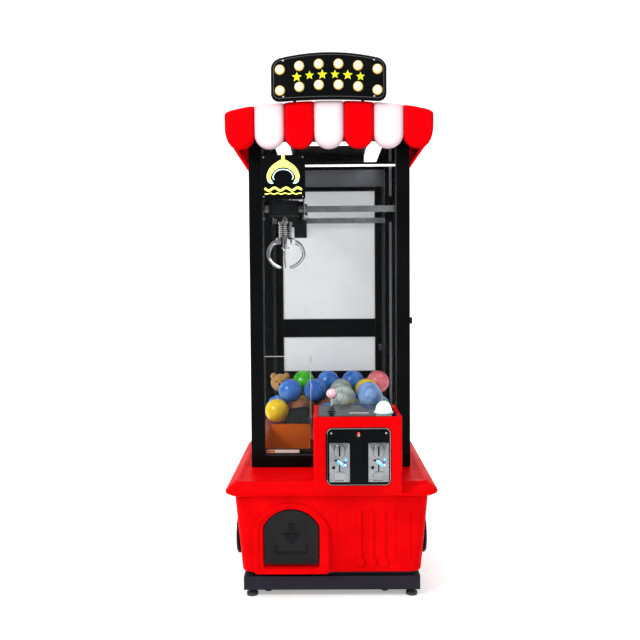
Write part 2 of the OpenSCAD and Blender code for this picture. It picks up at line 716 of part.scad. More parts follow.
module awning_white() color("#fff4f4") {
  awning_stripes(1);
  for (s = [-1, 1])
    block([s * 231 - 81, awn_y0 + awn_t + gap, cab_z1 + 20], [s * 231 + 81, awn_y1, cab_z1 + 31]);
}

sign_y0 = awn_y0 - 17;
sign_y1 = awn_y0 - 1;

module sign_board() color("#0c0c0e") {
  upright(sign_y0, sign_y1 - sign_y0) intersection() {
    translate([0, sign_z1 - 900]) circle(900, $fn = 240);
    rounded(-sign_half, sign_z1 - 155, sign_half, sign_z1, 26);
  }
  for (x = [-120, 110]) {
    block([x, sign_y1, awn_z1 + 14], [x + 10, awn_y0 + 46, awn_z1 + 24]);
    block([x, awn_y0 + 38, cab_z1 + 32], [x + 10, awn_y0 + 46, awn_z1 + 15]);
  }
}

bulb_x = [-164, -99, -33, 33, 99, 164];
function bulb_z(x, row) = sign_z1 - (row == 0 ? 34 : 105) - x * x / 1400;

module sign_bulbs() color("#fff3c4") for (x = bulb_x, row = [0, 1])
  translate([x, sign_y0, bulb_z(x, row)]) rotate([90, 0, 0]) rotate_extrude() intersection() {
    circle(17);
    square([17, 17]);
  }

module neon_board() color("#0b0c0d") {
  upright(-236, 5) rounded(-229, 1323, -81, 1471, 6);
  for (x = [-212, -115]) {
    block([x, -231, 1455], [x + 14, awn_y0 + 42, 1460]);
    block([x, awn_y0 + 37, 1455], [x + 14, awn_y0 + 42, 1560]);
    block([x, awn_y0 + 37, 1555], [x + 14, cab_y0, 1560]);
  }
}

// Glowing outlines: an arched claw with two tines over a flat wave bar
module neon_tubes() color("#e8ff5a") translate([-155, 0, 1392]) {
  upright(-243, 6) {
    difference() {
      circle(52, $fn = 96);
      circle(36, $fn = 96);
      translate([-60, -80]) square([120, 82]);
    }
    translate([-6, 48]) square([12, 22]);
  }
  for (x = [-48, -16, 16]) block([x, -243, -50], [x + 30, -237, -42]);
}

module power_inlet() color("#1a1a1c") translate([inlet_x, cab_y1, inlet_z]) {
  upright(0, 5) rounded(-35, -25, 35, 25, 4);
  block([-28, -30, -18], [28, 0.5, 18]);
  upright(4.5, 12) difference() {
    rounded(-20, -18, 20, 18, 5);
    rounded(-16, -14, 16, 14, 4);
  }
  for (x = [-8, 0, 8]) block([x - 1, 4.5, x == 0 ? 3 : -7], [x + 1, 13, x == 0 ? 10 : 0]);
}

// Capsules: a bottom layer on an even grid, and a heap nestled on top of it
ball_r = 48;
ball_z = bed_z + ball_r + 2;
heap = [
  [-159, 205, 613], [-57, 205, 613], [45, 205, 613], [147, 205, 613], [42, 108, 613], [150, 108, 613],
  [48, 8, 613], [150, 12, 613],
  [-205, 288, 636], [-108, 300, 636], [-6, 300, 636], [96, 300, 636], [198, 288, 636]
];
balls = concat(
  [for (x = [-210 : 102 : 198], y = [162, 264]) [x, y, ball_z]],
  [for (x = [-6 : 102 : 198], y = [-42, 60]) [x, y, ball_z]],
  heap
);

module prizes() color("#3f7fd8") for (b = balls) translate(b) sphere(r = ball_r);

plinth();
levelling_feet();
front_caster_left();
front_caster_right();
rear_caster_brackets();
caster_wheel_fl();
caster_wheel_fr();
caster_wheel_rl();
caster_wheel_rr();
base_shell();
base_rim();
side_speakers();
prize_surround();
prize_door();
prize_pocket();
chute_walls();
chute_guard();
prize_bed();
console_shell();
console_top();
joystick_mount();
joystick_gimbal();
joystick_stick();
button_bezel();
button_dome();
coin_door();
coin_lock();
coin_plates();
return_button_left();
return_button_right();
return_flap_left();
return_flap_right();
cabinet_frame();
fixed_glass();
side_door();
side_door_glass();
side_door_latch();
rear_door();
rear_door_windows();
rear_door_lock();
roof();
ceiling_lights();
gantry_rails();
bridge();
carriage();
winch_drum();
hoist_cord();
claw_head();
claw_plunger();
claw_finger_1();
claw_finger_2();
claw_finger_3();
awning_red();
awning_white();
sign_board();
sign_bulbs();
neon_board();
neon_tubes();
power_inlet();
prizes();
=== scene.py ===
"""Looks of a claw crane machine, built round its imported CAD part.

Sizes are in millimetres in the dataclass fields and become metres as a mesh is made. Every piece sits
at the origin with its place in its mesh, and rides on the CAD body that it belongs to.
"""
import json
import logging
import math
from dataclasses import dataclass, field
from enum import Enum

import bmesh
import bpy
import numpy as np
from mathutils import Matrix, Vector

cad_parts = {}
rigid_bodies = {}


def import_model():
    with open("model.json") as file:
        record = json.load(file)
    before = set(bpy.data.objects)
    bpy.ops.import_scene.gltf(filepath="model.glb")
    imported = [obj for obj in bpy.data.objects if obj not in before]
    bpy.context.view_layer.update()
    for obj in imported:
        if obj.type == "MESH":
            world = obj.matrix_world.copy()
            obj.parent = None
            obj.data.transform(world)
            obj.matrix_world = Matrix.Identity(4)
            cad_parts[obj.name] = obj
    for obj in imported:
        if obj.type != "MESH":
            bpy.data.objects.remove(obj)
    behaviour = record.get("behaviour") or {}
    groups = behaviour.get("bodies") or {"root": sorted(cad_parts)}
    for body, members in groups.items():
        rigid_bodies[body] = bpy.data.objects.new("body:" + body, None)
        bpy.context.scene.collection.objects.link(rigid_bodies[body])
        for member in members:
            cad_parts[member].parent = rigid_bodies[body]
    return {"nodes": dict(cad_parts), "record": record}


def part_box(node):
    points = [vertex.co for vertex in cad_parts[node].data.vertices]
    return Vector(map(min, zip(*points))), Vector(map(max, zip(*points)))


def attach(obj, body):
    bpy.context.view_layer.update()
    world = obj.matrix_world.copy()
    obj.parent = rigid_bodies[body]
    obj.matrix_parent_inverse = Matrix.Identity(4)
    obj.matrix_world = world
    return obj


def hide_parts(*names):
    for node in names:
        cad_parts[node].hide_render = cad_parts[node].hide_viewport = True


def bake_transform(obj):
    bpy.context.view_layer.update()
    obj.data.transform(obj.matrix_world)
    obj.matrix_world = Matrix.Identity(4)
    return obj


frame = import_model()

log = logging.getLogger("claw_machine")
Array = np.ndarray
MM = 0.001
TURN = 2 * math.pi
BODY_OF = {node: body for body, nodes in frame["record"]["behaviour"]["bodies"].items() for node in nodes}
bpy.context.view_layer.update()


class Axis(Enum):
    """The machine axis that a flat outline is given depth along, or that a profile turns round."""

    X = 0
    Y = 1
    Z = 2


# ---------------------------------------------------------------- finishes


def linear(code: str) -> tuple[float, float, float, float]:
    """Turn an sRGB hex code into linear light.

    Args:
        code: six hex digits after a hash sign.

    Returns:
        Linear red, green and blue, with an alpha of one.
    """
    srgb = np.array([int(code[i:i + 2], 16) for i in (1, 3, 5)]) / 255
    light = np.where(srgb <= 0.04045, srgb / 12.92, ((srgb + 0.055) / 1.055) ** 2.4)
    return (*map(float, light), 1.0)


def add_node(tree: bpy.types.NodeTree, kind: str, values: dict | None = None,
             links: dict | None = None) -> bpy.types.Node:
    """Add one shader node with its settings and links.

    Args:
        tree: the material's node tree.
        kind: Blender's node type name.
        values: node settings or input values, by name or input number.
        links: source sockets, by the name or number of the input that each feeds.

    Returns:
        The new node.
    """
    node = tree.nodes.new(kind)
    for key, value in (values or {}).items():
        if isinstance(key, str) and hasattr(node, key):
            setattr(node, key, value)
        else:
            node.inputs[key].default_value = value
    for key, source in (links or {}).items():
        tree.links.new(source, node.inputs[key])
    return node


@dataclass(frozen=True)
class Finish:
    """One real material: its colour, its gloss, the slow drift of its tone and the fine grain of its skin.

    Tone drifts between colour and shade over patches of patch_mm, gloss drifts by smudge over smudge_mm,
    and a bump of grain_mm wide bumps, stretched by brushed, roughens the skin by grain. A piece that carries
    the attribute "edge" turns, where that attribute is one, to a second colour that paints shade on its edges.
    """

    name: str
    colour: str
    shade: str
    roughness: float
    metallic: float = 0.0
    ior: float = 1.5
    coat: float = 0.0
    specular: float = 0.5
    alpha: float = 1.0
    clear: float = 0.0
    glow: float = 0.0
    sheen: float = 0.0
    smudge: float = 0.06
    smudge_mm: float = 70.0
    patch_mm: float = 120.0
    grain_mm: float = 1.6
    grain: float = 0.05
    brushed: tuple[float, float, float] = (1.0, 1.0, 1.0)
    # Colour of the painted shade, where a piece's "edge" attribute is one.
    painted_shade_colour: str = ""

    def material(self) -> bpy.types.Material:
        """Make the finish's material, or give back the one already made."""
        ready = bpy.data.materials.get(self.name)
        if ready:
            return ready
        material = bpy.data.materials.new(self.name)
        material.use_nodes = True
        tree = material.node_tree
        shader = tree.nodes["Principled BSDF"]
        fixed = {"Metallic": self.metallic, "Specular IOR Level": self.specular, "Coat Weight": self.coat,
                 "Coat Roughness": 0.08, "Alpha": self.alpha, "Transmission Weight": self.clear,
                 "Sheen Weight": self.sheen, "Emission Strength": self.glow}
        if self.metallic < 0.5:
            fixed["IOR"] = self.ior
        if self.glow:
            fixed["Emission Color"] = linear(self.colour)
        for key, value in fixed.items():
            shader.inputs[key].default_value = value
        place = add_node(tree, "ShaderNodeTexCoord").outputs["Object"]
        patches = add_node(tree, "ShaderNodeTexNoise",
                           {"Scale": 1 / (self.patch_mm * MM), "Detail": 3.0}, {"Vector": place})
        spread = add_node(tree, "ShaderNodeMapRange", {"From Min": 0.35, "From Max": 0.65},
                          {"Value": patches.outputs["Fac"]})
        tone = add_node(tree, "ShaderNodeMix", {"data_type": "RGBA", 6: linear(self.colour),
                                                7: linear(self.shade)}, {0: spread.outputs["Result"]})
        colour = tone.outputs[2]
        # Paint shade along the edges that the piece's "edge" attribute marks.
        if self.painted_shade_colour:
            edge = add_node(tree, "ShaderNodeAttribute", {"attribute_name": "edge"})
            colour = add_node(tree, "ShaderNodeMix", {"data_type": "RGBA", 7: linear(self.painted_shade_colour)},
                              {0: edge.outputs["Fac"], 6: colour}).outputs[2]
        tree.links.new(colour, shader.inputs["Base Color"])
        smears = add_node(tree, "ShaderNodeTexNoise",
                          {"Scale": 1 / (self.smudge_mm * MM), "Detail": 4.0}, {"Vector": place})
        gloss = add_node(tree, "ShaderNodeMapRange", {
            "From Min": 0.3, "From Max": 0.7, "To Min": max(self.roughness - self.smudge, 0.02),
            "To Max": min(self.roughness + self.smudge, 1.0)}, {"Value": smears.outputs["Fac"]})
        tree.links.new(gloss.outputs["Result"], shader.inputs["Roughness"])
        turned = add_node(tree, "ShaderNodeMapping", {"Scale": self.brushed}, {"Vector": place})
        skin = add_node(tree, "ShaderNodeTexNoise", {"Scale": 1 / (self.grain_mm * MM), "Detail": 2.0},
                        {"Vector": turned.outputs["Vector"]})
        bump = add_node(tree, "ShaderNodeBump", {"Strength": self.grain, "Distance": self.grain_mm * MM},
                        {"Height": skin.outputs["Fac"]})
        tree.links.new(bump.outputs["Normal"], shader.inputs["Normal"])
        return material


# Rotationally moulded and sprayed red polyethylene: deep even red with a soft orange-peel gloss.
RED = Finish("moulded_polyethylene_red", "#E00509", "#CF0307", 0.40, specular=0.008, grain_mm=5, grain=0.05)
# The awning's thinner blow moulding is a touch brighter, with painted shade, a deeper red, where the sheet turns away
# at its seams and crown.
AWNING_RED = Finish("blow_moulded_abs_red", "#EA020B", "#DC0209", 0.42, specular=0.0, grain_mm=4, grain=0.04,
                    painted_shade_colour="#C90A12")
# White stripes carry painted light along their edges and crown: a painted pink reflection of the red stripes beside
# them, and painted shade where the surface turns away.
AWNING_WHITE = Finish("blow_moulded_abs_white", "#E2DCDE", "#DCD3D6", 0.42, specular=0.05, grain_mm=4,
                      grain=0.04, painted_shade_colour="#D98C9B")
# Powder-coated steel of the cabinet: near black, satin, with a fine dimple.
CABINET = Finish("powder_coated_steel_black", "#050608", "#090B0C", 0.36, specular=0.06, grain_mm=1.2,
                 grain=0.06)
# Powder-coated steel of the plinth: cooler and greyer than the cabinet.
PLINTH = Finish("powder_coated_steel_navy", "#201F2B", "#1A1925", 0.42, specular=0.14, grain_mm=1.4, grain=0.08)
# Pressed steel of brackets and trucks, painted a dark satin grey.
BRACKET = Finish("painted_steel_graphite", "#2A2C30", "#222428", 0.40, grain_mm=1.4, grain=0.08)
# Moulded ABS of trays, pods and knobs: black with a fine spark-eroded grain.
BLACK_ABS = Finish("moulded_abs_black", "#0A0B0D", "#101113", 0.48, specular=0.12, grain_mm=1.0, grain=0.16)
# The prize flap's ABS is greyer and duller, scuffed by hands.
FLAP_ABS = Finish("moulded_abs_slate", "#111113", "#161618", 0.42, specular=0.16, smudge=0.12, grain_mm=0.9, grain=0.15)
# Natural rubber of tyres and feet: dull and faintly dusty.
RUBBER = Finish("rubber_black", "#151516", "#202021", 0.82, grain_mm=0.8, grain=0.2)
# Nylon wheel centres.
NYLON = Finish("nylon_grey", "#54565A", "#4B4D51", 0.5, grain_mm=0.8, grain=0.1)
# Brushed stainless steel of the coin plates: fine horizontal lines.
STEEL = Finish("brushed_stainless_steel", "#A2A5A8", "#8E9195", 0.30, metallic=1.0, grain_mm=1.0,
               grain=0.10, brushed=(0.06, 1.0, 1.0), patch_mm=40)
# Ground steel of the gantry rails: brighter, with lines along the rail.
RAIL = Finish("ground_steel", "#AEB2B6", "#989DA2", 0.24, metallic=1.0, grain_mm=0.9, grain=0.08,
              brushed=(0.05, 1.0, 1.0), patch_mm=60)
# Polished chrome of the claw, lock and screws: mirror-like with faint fingermarks.
CHROME = Finish("polished_chrome", "#B4B7BA", "#A2A5A9", 0.12, metallic=1.0, smudge=0.05, grain_mm=6,
                grain=0.01)
# Zinc-plated screws and small brackets.
ZINC = Finish("zinc_plated_steel", "#C9CBCC", "#B2B5B8", 0.32, metallic=1.0, grain_mm=0.7, grain=0.06)
# Aluminium of the header band and the light strip, drawn and lightly satined.
ALUMINIUM = Finish("satin_aluminium", "#7A7E83", "#6E7277", 0.36, metallic=0.9, grain_mm=1.0, grain=0.05,
                   brushed=(0.08, 1.0, 1.0))
# Float glass: almost clear, with a faint green-grey cast and a hard coat that reflects. Its index stays near
# one, because each face lets light through or bends it on its own, and a true index leaves ghost images.
GLASS = Finish("float_glass", "#F2F8F7", "#EEF5F4", 0.03, alpha=0.10, clear=1.0, ior=1.03, coat=1.0,
               smudge=0.01, grain_mm=90, grain=0.0)
# Cast acrylic of the chute guard: a little denser than the glass, and its index is kept low as well.
ACRYLIC = Finish("cast_acrylic_clear", "#F2F7F8", "#EAF2F4", 0.04, alpha=0.13, clear=1.0, ior=1.03, coat=1.0,
                 smudge=0.02, grain_mm=60, grain=0.0)
# Opal sheet of the rear windows: milky, with a painted glow for the bay's light falling on it from inside.
OPAL = Finish("opal_acrylic_sheet", "#CBCDCF", "#C1C4C6", 0.30, specular=0.2, glow=0.30, patch_mm=220,
              grain_mm=30, grain=0.02)
# Orange polystyrene of the chute, with a trace of glow for the bay's own light falling in.
ORANGE = Finish("polystyrene_orange", "#CC5E02", "#B44C00", 0.42, specular=0.15, glow=0.04, patch_mm=70,
                grain_mm=2, grain=0.05)
# Tempered glass over black print on the console.
BLACK_GLASS = Finish("back_printed_glass_black", "#050608", "#090B0D", 0.09, specular=0.05, smudge=0.03,
                     grain_mm=40, grain=0.01)
# Painted board of the prize bed.
BED = Finish("painted_board_red", "#8E1518", "#7A1013", 0.55, grain_mm=1.8, grain=0.12)
# Cool white light diffusers.
LED = Finish("led_diffuser_white", "#FBFCFF", "#F4F7FF", 0.45, glow=1.0, grain_mm=2, grain=0.04)
# Small signal lights.
LED_BLUE = Finish("led_blue", "#3AA0FF", "#2E90FF", 0.3, glow=3.0)
LED_RED = Finish("led_red", "#FF2A1A", "#F01E12", 0.3, glow=2.5)
# Opal bulbs: cream, only faintly lit, in amber collars.
BULB = Finish("opal_bulb_cream", "#FBF3D0", "#F6EBB8", 0.30, specular=0.2, glow=0.20, grain_mm=3, grain=0.02)
# The collars' glow is painted light from the bulbs they hold.
BULB_RIM = Finish("bulb_collar_amber", "#DDB052", "#CE9E40", 0.35, glow=0.12)
# Silicone neon: a saturated yellow-green light, and a cool blue-white one.
NEON = Finish("silicone_neon_lime", "#E4F058", "#F0F78C", 0.4, glow=1.2, grain_mm=2, grain=0.03)
NEON_BLUE = Finish("silicone_neon_ice", "#BFE4FF", "#D2ECFF", 0.4, glow=1.3, grain_mm=2, grain=0.03)
# Vinyl of the sign: lime stars with a slight painted glow, a grey border, and pale blank strips.
DECAL = Finish("vinyl_lime", "#D2E01E", "#C6D418", 0.4, glow=0.25)
BORDER = Finish("vinyl_grey", "#55585B", "#4C4F52", 0.45)
LABEL = Finish("vinyl_pale", "#D8D6CE", "#CFCDC5", 0.45)
# Joystick knob: pale pink cast resin with lighter swirls, and a faint painted glow.
CRYSTAL = Finish("cast_resin_pink", "#D996A8", "#F3D3DC", 0.10, coat=0.8, patch_mm=6, glow=0.03)
# Big start button: white translucent lens in a pale teal ring, lit from below.
LENS = Finish("polycarbonate_lens_white", "#F2FAFF", "#DDF0FA", 0.15, coat=0.6, glow=0.7, patch_mm=18)
TEAL = Finish("polycarbonate_teal", "#CFE9EC", "#B4DADF", 0.2, coat=0.5, glow=0.25)
BUTTON_BLUE = Finish("moulded_abs_blue", "#1C4FC8", "#1844B4", 0.25, coat=0.4)
WHITE_ABS = Finish("moulded_abs_white", "#F1F2F2", "#E6E8E9", 0.32, coat=0.2)
# Braided nylon of the hoist cord, its twist drawn coarse enough to show.
CORD = Finish("braided_nylon_natural", "#E3DDCB", "#C6BFAB", 0.75, patch_mm=3, grain_mm=1.2, grain=0.4)


def toy(name: str, colour: str, shade: str, **more: float) -> Finish:
    """Make the finish of one prize ball: glossy PVC whose print drifts between two tones."""
    settings = {"roughness": 0.24, "specular": 0.4, "patch_mm": 26, "grain_mm": 3, "grain": 0.04} | more
    return Finish(name, colour, shade, **settings)


class Toy(Enum):
    """What each prize ball is made of."""

    BLUE = toy("pvc_ball_blue", "#2560BE", "#4A86D6")
    YELLOW = toy("pvc_ball_yellow", "#E6B900", "#F2CE10")
    GREEN = toy("pvc_ball_green", "#1F9E10", "#45C01C")
    PINK = toy("pvc_ball_pink", "#CC5560", "#E58088")
    PALE = toy("pvc_ball_pale_blue", "#5F88CC", "#8FB0E2")
    CLEAR = toy("pvc_ball_frosted", "#7C8C86", "#B9C6C0", roughness=0.14)
    BROWN = toy("pvc_ball_brown", "#6E3A1C", "#93552C")
    PLUSH = toy("plush_brown", "#A67A3C", "#B98D4A", roughness=0.9, specular=0.1, sheen=0.5, grain_mm=2.4,
                grain=0.9)


# ---------------------------------------------------------------- shapes


def rounded_outline(low: tuple, high: tuple, radius: float, arc: int = 8,
                    along: tuple = (1, 1, 1, 1)) -> Array:
    """Walk round a rectangle with quarter-circle corners, counter-clockwise.

    Args:
        low: lowest corner of the rectangle.
        high: highest corner.
        radius: corner radius.
        arc: steps in each corner.
        along: steps in the right, upper, left and lower straight sides.

    Returns:
        An array of points, two numbers each.
    """
    (x0, y0), (x1, y1) = low, high
    sweep = np.linspace(0, math.pi / 2, arc + 1)
    spots = [(x1 - radius, y0 + radius, -0.25), (x1 - radius, y1 - radius, 0),
             (x0 + radius, y1 - radius, 0.25), (x0 + radius, y0 + radius, 0.5)]
    corners = [np.column_stack([x + radius * np.cos(a * TURN + sweep), y + radius * np.sin(a * TURN + sweep)])
               for x, y, a in spots]
    parts = []
    for here, following, steps in zip(corners, corners[1:] + corners[:1], along):
        share = np.linspace(0, 1, steps + 1)[1:-1, None]
        parts += [here, here[-1] * (1 - share) + following[0] * share]
    return np.vstack(parts)


def shrunk(outline: Array, inset: float) -> Array:
    """Move each point of a smooth counter-clockwise outline inwards along its normal."""
    tangent = np.roll(outline, -1, 0) - np.roll(outline, 1, 0)
    tangent /= np.linalg.norm(tangent, axis=1, keepdims=True)
    return outline + inset * np.column_stack([-tangent[:, 1], tangent[:, 0]])


def reach(outline: Array, centre: tuple, angles: Array) -> Array:
    """Measure how far an outline is from a centre inside it, in each direction.

    Each ray is crossed with every edge at once, and the furthest crossing is kept.

    Args:
        outline: points of the outline.
        centre: the point that the rays leave.
        angles: direction of each ray.

    Returns:
        One distance for each ray.
    """
    start = outline - np.array(centre)
    edge = np.roll(start, -1, 0) - start
    ray = np.column_stack([np.cos(angles), np.sin(angles)])[:, None]
    cross = ray[..., 0] * edge[:, 1] - ray[..., 1] * edge[:, 0]
    cross = np.where(abs(cross) < 1e-9, 1e-9, cross)
    far = (start[:, 0] * edge[:, 1] - start[:, 1] * edge[:, 0]) / cross
    part = (start[:, 0] * ray[..., 1] - start[:, 1] * ray[..., 0]) / cross
    return np.where((part >= -1e-6) & (part <= 1 + 1e-6) & (far > 0), far, 0).max(1)


def lifted(outline: Array, depth: float | Array, axis: Axis) -> Array:
    """Give a flat outline its place in space, at a depth along an axis."""
    u, v = outline.T
    d = np.broadcast_to(depth, u.shape)
    order = {Axis.X: (d, u, v), Axis.Y: (u, d, v), Axis.Z: (u, v, d)}
    return np.column_stack(order[axis])


def through(points: list, steps: int = 8) -> Array:
    """Draw a smooth curve through points: each span is a cubic whose slope at a point is half the
    step between that point's neighbours."""
    p = np.asarray(points, float)
    p = np.vstack([2 * p[0] - p[1], p, 2 * p[-1] - p[-2]])
    t = np.linspace(0, 1, steps, endpoint=False)[None, :, None]
    a, b, c, d = p[:-3, None], p[1:-2, None], p[2:-1, None], p[3:, None]
    curve = 0.5 * (2 * b + (c - a) * t + (2 * a - 5 * b + 4 * c - d) * t ** 2
                   + (3 * b - a - 3 * c + d) * t ** 3)
    return np.vstack([curve.reshape(-1, p.shape[1]), p[-2:-1]])


@dataclass
class Shape:
    """Skins and plates gathered into one mesh, in millimetres."""

    points: list = field(default_factory=list)
    faces: list = field(default_factory=list)
    edges: list = field(default_factory=list)
    count: int = 0

    def add(self, points: Array, faces: Array, edge: Array | None = None) -> "Shape":
        """Add points and the faces on them, with each point's share of the painted edge shade."""
        self.points.append(points)
        self.faces += (np.asarray(faces) + self.count).tolist()
        self.edges.append(np.zeros(len(points)) if edge is None else edge)
        self.count += len(points)
        return self

    def skin(self, rings: Array, loop: bool = False, edge: Array | None = None) -> "Shape":
        """Join rings of equal length by quads, and close the two ends by fans to their middles.

        Args:
            rings: an array of rings, of points, of coordinates.
            loop: whether the last ring joins the first, which leaves no ends to close.
            edge: share of the painted edge shade, one for each point of each ring.

        Returns:
            This shape.
        """
        total, sides = rings.shape[:2]
        i = np.arange(total if loop else total - 1)[:, None] * sides
        j = np.arange(sides)[None]
        after, turn = (i + sides) % (total * sides), (j + 1) % sides
        quads = np.stack([i + j, i + turn, after + turn, after + j], -1).reshape(-1, 4)
        self.add(rings.reshape(-1, 3), quads, None if edge is None else edge.reshape(-1))
        if not loop:
            base = self.count - total * sides
            for start, flip in ((0, -1), ((total - 1) * sides, 1)):
                ring = np.arange(sides)[::flip] + base + start
                self.faces += np.column_stack([ring, np.roll(ring, -1), np.full(sides, self.count)]).tolist()
                self.points.append(rings[0 if flip < 0 else -1].mean(0)[None])
                self.edges.append(np.zeros(1))
                self.count += 1
        return self

    def pillow(self, front: Array, back: Array, edge: Array | None = None) -> "Shape":
        """Join two grids of the same layout along their borders into a closed form."""
        rows, columns = front.shape[:2]
        grid = np.arange(rows * columns).reshape(rows, columns)
        face = np.stack([grid[:-1, :-1], grid[:-1, 1:], grid[1:, 1:], grid[1:, :-1]], -1).reshape(-1, 4)
        rim = np.concatenate([grid[0, :-1], grid[:-1, -1], grid[-1, :0:-1], grid[:0:-1, 0]])
        size = rows * columns
        side = np.column_stack([rim, rim + size, np.roll(rim, -1) + size, np.roll(rim, -1)])
        share = None if edge is None else np.tile(edge.reshape(-1), 2)
        return self.add(np.vstack([front.reshape(-1, 3), back.reshape(-1, 3)]),
                        np.vstack([face, face[:, ::-1] + size, side]), share)

    def plate(self, outline: Array, near: float, far: float, edge: float, axis: Axis = Axis.Y) -> "Shape":
        """Give a smooth outline depth from near to far, with quarter-round edges of the given radius."""
        turn = np.linspace(0, math.pi / 2, 5)
        inset, rise = edge * (1 - np.sin(turn)), edge * (1 - np.cos(turn))
        steps = [*zip(inset, near + rise), *zip(inset[::-1], far - rise[::-1])]
        return self.skin(np.stack([lifted(shrunk(outline, i), d, axis) for i, d in steps]))

    def prism(self, outline: Array, near: float, far: float, axis: Axis = Axis.Y) -> "Shape":
        """Give an outline depth from near to far with square edges."""
        return self.skin(np.stack([lifted(outline, near, axis), lifted(outline, far, axis)]))

    def lathe(self, profile: list, centre: tuple, axis: Axis = Axis.Z, sides: int = 48,
              turned: Array | None = None) -> "Shape":
        """Turn a profile of radius and height pairs round an axis through a centre.

        Args:
            profile: radius and height pairs, from one end to the other.
            centre: the point where height is zero.
            axis: the axis that it turns round.
            sides: steps round the axis.
            turned: a rotation applied about the centre.

        Returns:
            This shape.
        """
        radius, height = np.asarray(profile, float).T
        angle = np.arange(sides) * TURN / sides
        radius = np.maximum(radius, 0.02)[:, None]
        across = radius * np.cos(angle), radius * np.sin(angle)
        rings = np.stack([*across, np.broadcast_to(height[:, None], across[0].shape)], -1)
        order = {Axis.X: [2, 0, 1], Axis.Y: [0, 2, 1], Axis.Z: [0, 1, 2]}[axis]
        rings = rings[..., order]
        if turned is not None:
            rings = rings @ turned.T
        return self.skin(rings + np.array(centre, float))

    def tube(self, path: Array, radius: float | Array, sides: int = 12, loop: bool = False,
             up: tuple = (0, 0, 1), squeeze: float = 1.0) -> "Shape":
        """Carry a circle, or an ellipse squeezed along up, along a path."""
        path = np.asarray(path, float)
        if loop:
            tangent = np.roll(path, -1, 0) - np.roll(path, 1, 0)
        else:
            tangent = np.gradient(path, axis=0)
        tangent /= np.linalg.norm(tangent, axis=1, keepdims=True)
        side = np.cross(tangent, np.array(up, float))
        side /= np.linalg.norm(side, axis=1, keepdims=True)
        other = np.cross(side, tangent)
        angle = np.arange(sides) * TURN / sides
        r = np.broadcast_to(radius, len(path))[:, None, None]
        ring = (np.cos(angle)[None, :, None] * side[:, None]
                + squeeze * np.sin(angle)[None, :, None] * other[:, None])
        return self.skin(path[:, None] + r * ring, loop=loop)

    def block(self, low: tuple, high: tuple) -> "Shape":
        """Add a rectangular block; the piece's bevel rounds its edges."""
        low, high = np.minimum(low, high), np.maximum(low, high)
        pick = np.array([[(k >> n) & 1 for n in range(3)] for k in range(8)])
        sides = [[0, 2, 3, 1], [4, 5, 7, 6], [0, 1, 5, 4], [2, 6, 7, 3], [0, 4, 6, 2], [1, 3, 7, 5]]
        return self.add(np.where(pick == 1, high, low).astype(float), np.array(sides))

    def screw(self, at: tuple, radius: float = 3.0, axis: Axis = Axis.Y, out: float = -1.0) -> "Shape":
        """Add a domed screw head with a round recess, standing out from a face."""
        dome = [(radius, 0), (radius, 0.35 * radius), (0.9 * radius, 0.6 * radius), (0.6 * radius, 0.75 * radius),
                (0.42 * radius, 0.76 * radius), (0.38 * radius, 0.35 * radius), (0.02, 0.3 * radius)]
        return self.lathe([(r, out * h) for r, h in dome], at, axis, 18)

    def build(self, name: str, finish: Finish, body: str, stands_for: tuple = (), bevel: float = 0.0,
              wall: float = 0.0, subdivide: int = 0, smooth: float = 34.0) -> bpy.types.Object:
        """Make the mesh object, finish it and let it ride on its body.

        Args:
            name: the piece's name.
            finish: what it is made of.
            body: the CAD body that it rides on.
            stands_for: CAD nodes that it replaces.
            bevel: width of the rounding of its sharp edges.
            wall: wall thickness given to an open skin, inwards.
            subdivide: subdivision surface levels.
            smooth: edges that turn by more than this many degrees stay sharp.

        Returns:
            The finished object.
        """
        mesh = bpy.data.meshes.new(name)
        mesh.from_pydata((np.vstack(self.points) * MM).tolist(), [], self.faces)
        # The "edge" attribute carries each point's share of the painted shade.
        mesh.attributes.new("edge", "FLOAT", "POINT").data.foreach_set(
            "value", np.concatenate(self.edges).astype(np.float32))
        return finished(mesh, name, finish, body, stands_for, bevel, wall, subdivide, smooth)


def finished(mesh: bpy.types.Mesh, name: str, finish: Finish, body: str, stands_for: tuple, bevel: float,
             wall: float, subdivide: int, smooth: float) -> bpy.types.Object:
    """Turn the faces outwards, shade them, add the modifiers and tie the piece to its body."""
    work = bmesh.new()
    work.from_mesh(mesh)
    bmesh.ops.recalc_face_normals(work, faces=work.faces)
    work.to_mesh(mesh)
    work.free()
    mesh.shade_smooth()
    mesh.set_sharp_from_angle(angle=math.radians(smooth))
    mesh.materials.append(finish.material())
    piece = bpy.data.objects.new(name, mesh)
    bpy.context.scene.collection.objects.link(piece)
    if wall:
        skin = piece.modifiers.new("wall", "SOLIDIFY")
        skin.thickness, skin.offset = wall * MM, -1
    if bevel:
        edge = piece.modifiers.new("rounding", "BEVEL")
        edge.width, edge.segments, edge.limit_method = bevel * MM, 2, "ANGLE"
        edge.angle_limit, edge.harden_normals = math.radians(smooth), True
    if subdivide:
        surface = piece.modifiers.new("surface", "SUBSURF")
        surface.levels = surface.render_levels = subdivide
    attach(piece, body)
    if stands_for:
        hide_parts(*stands_for)
    return piece


def polished(node: str, finish: Finish, bevel: float = 1.0, smooth: float = 34.0) -> bpy.types.Object:
    """Copy a CAD node, merge its loose triangles, and round and shade its edges.

    Args:
        node: the CAD node, whose body the copy rides on.
        finish: what it is made of.
        bevel: width of the rounding of its sharp edges.
        smooth: edges that turn by more than this many degrees stay sharp.

    Returns:
        The finished copy, standing for the node.
    """
    mesh = frame["nodes"][node].data.copy()
    mesh.materials.clear()
    work = bmesh.new()
    work.from_mesh(mesh)
    bmesh.ops.remove_doubles(work, verts=work.verts, dist=2e-5)
    bmesh.ops.dissolve_limit(work, angle_limit=math.radians(0.8), verts=work.verts, edges=work.edges)
    work.to_mesh(mesh)
    work.free()
    return finished(mesh, node + "_finish", finish, BODY_OF[node], (node,), bevel, 0, 0, smooth)


def box_mm(node: str) -> tuple[Array, Array]:
    """Give a CAD node's lowest and highest corners in millimetres."""
    low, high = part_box(node)
    return np.array(low) / MM, np.array(high) / MM


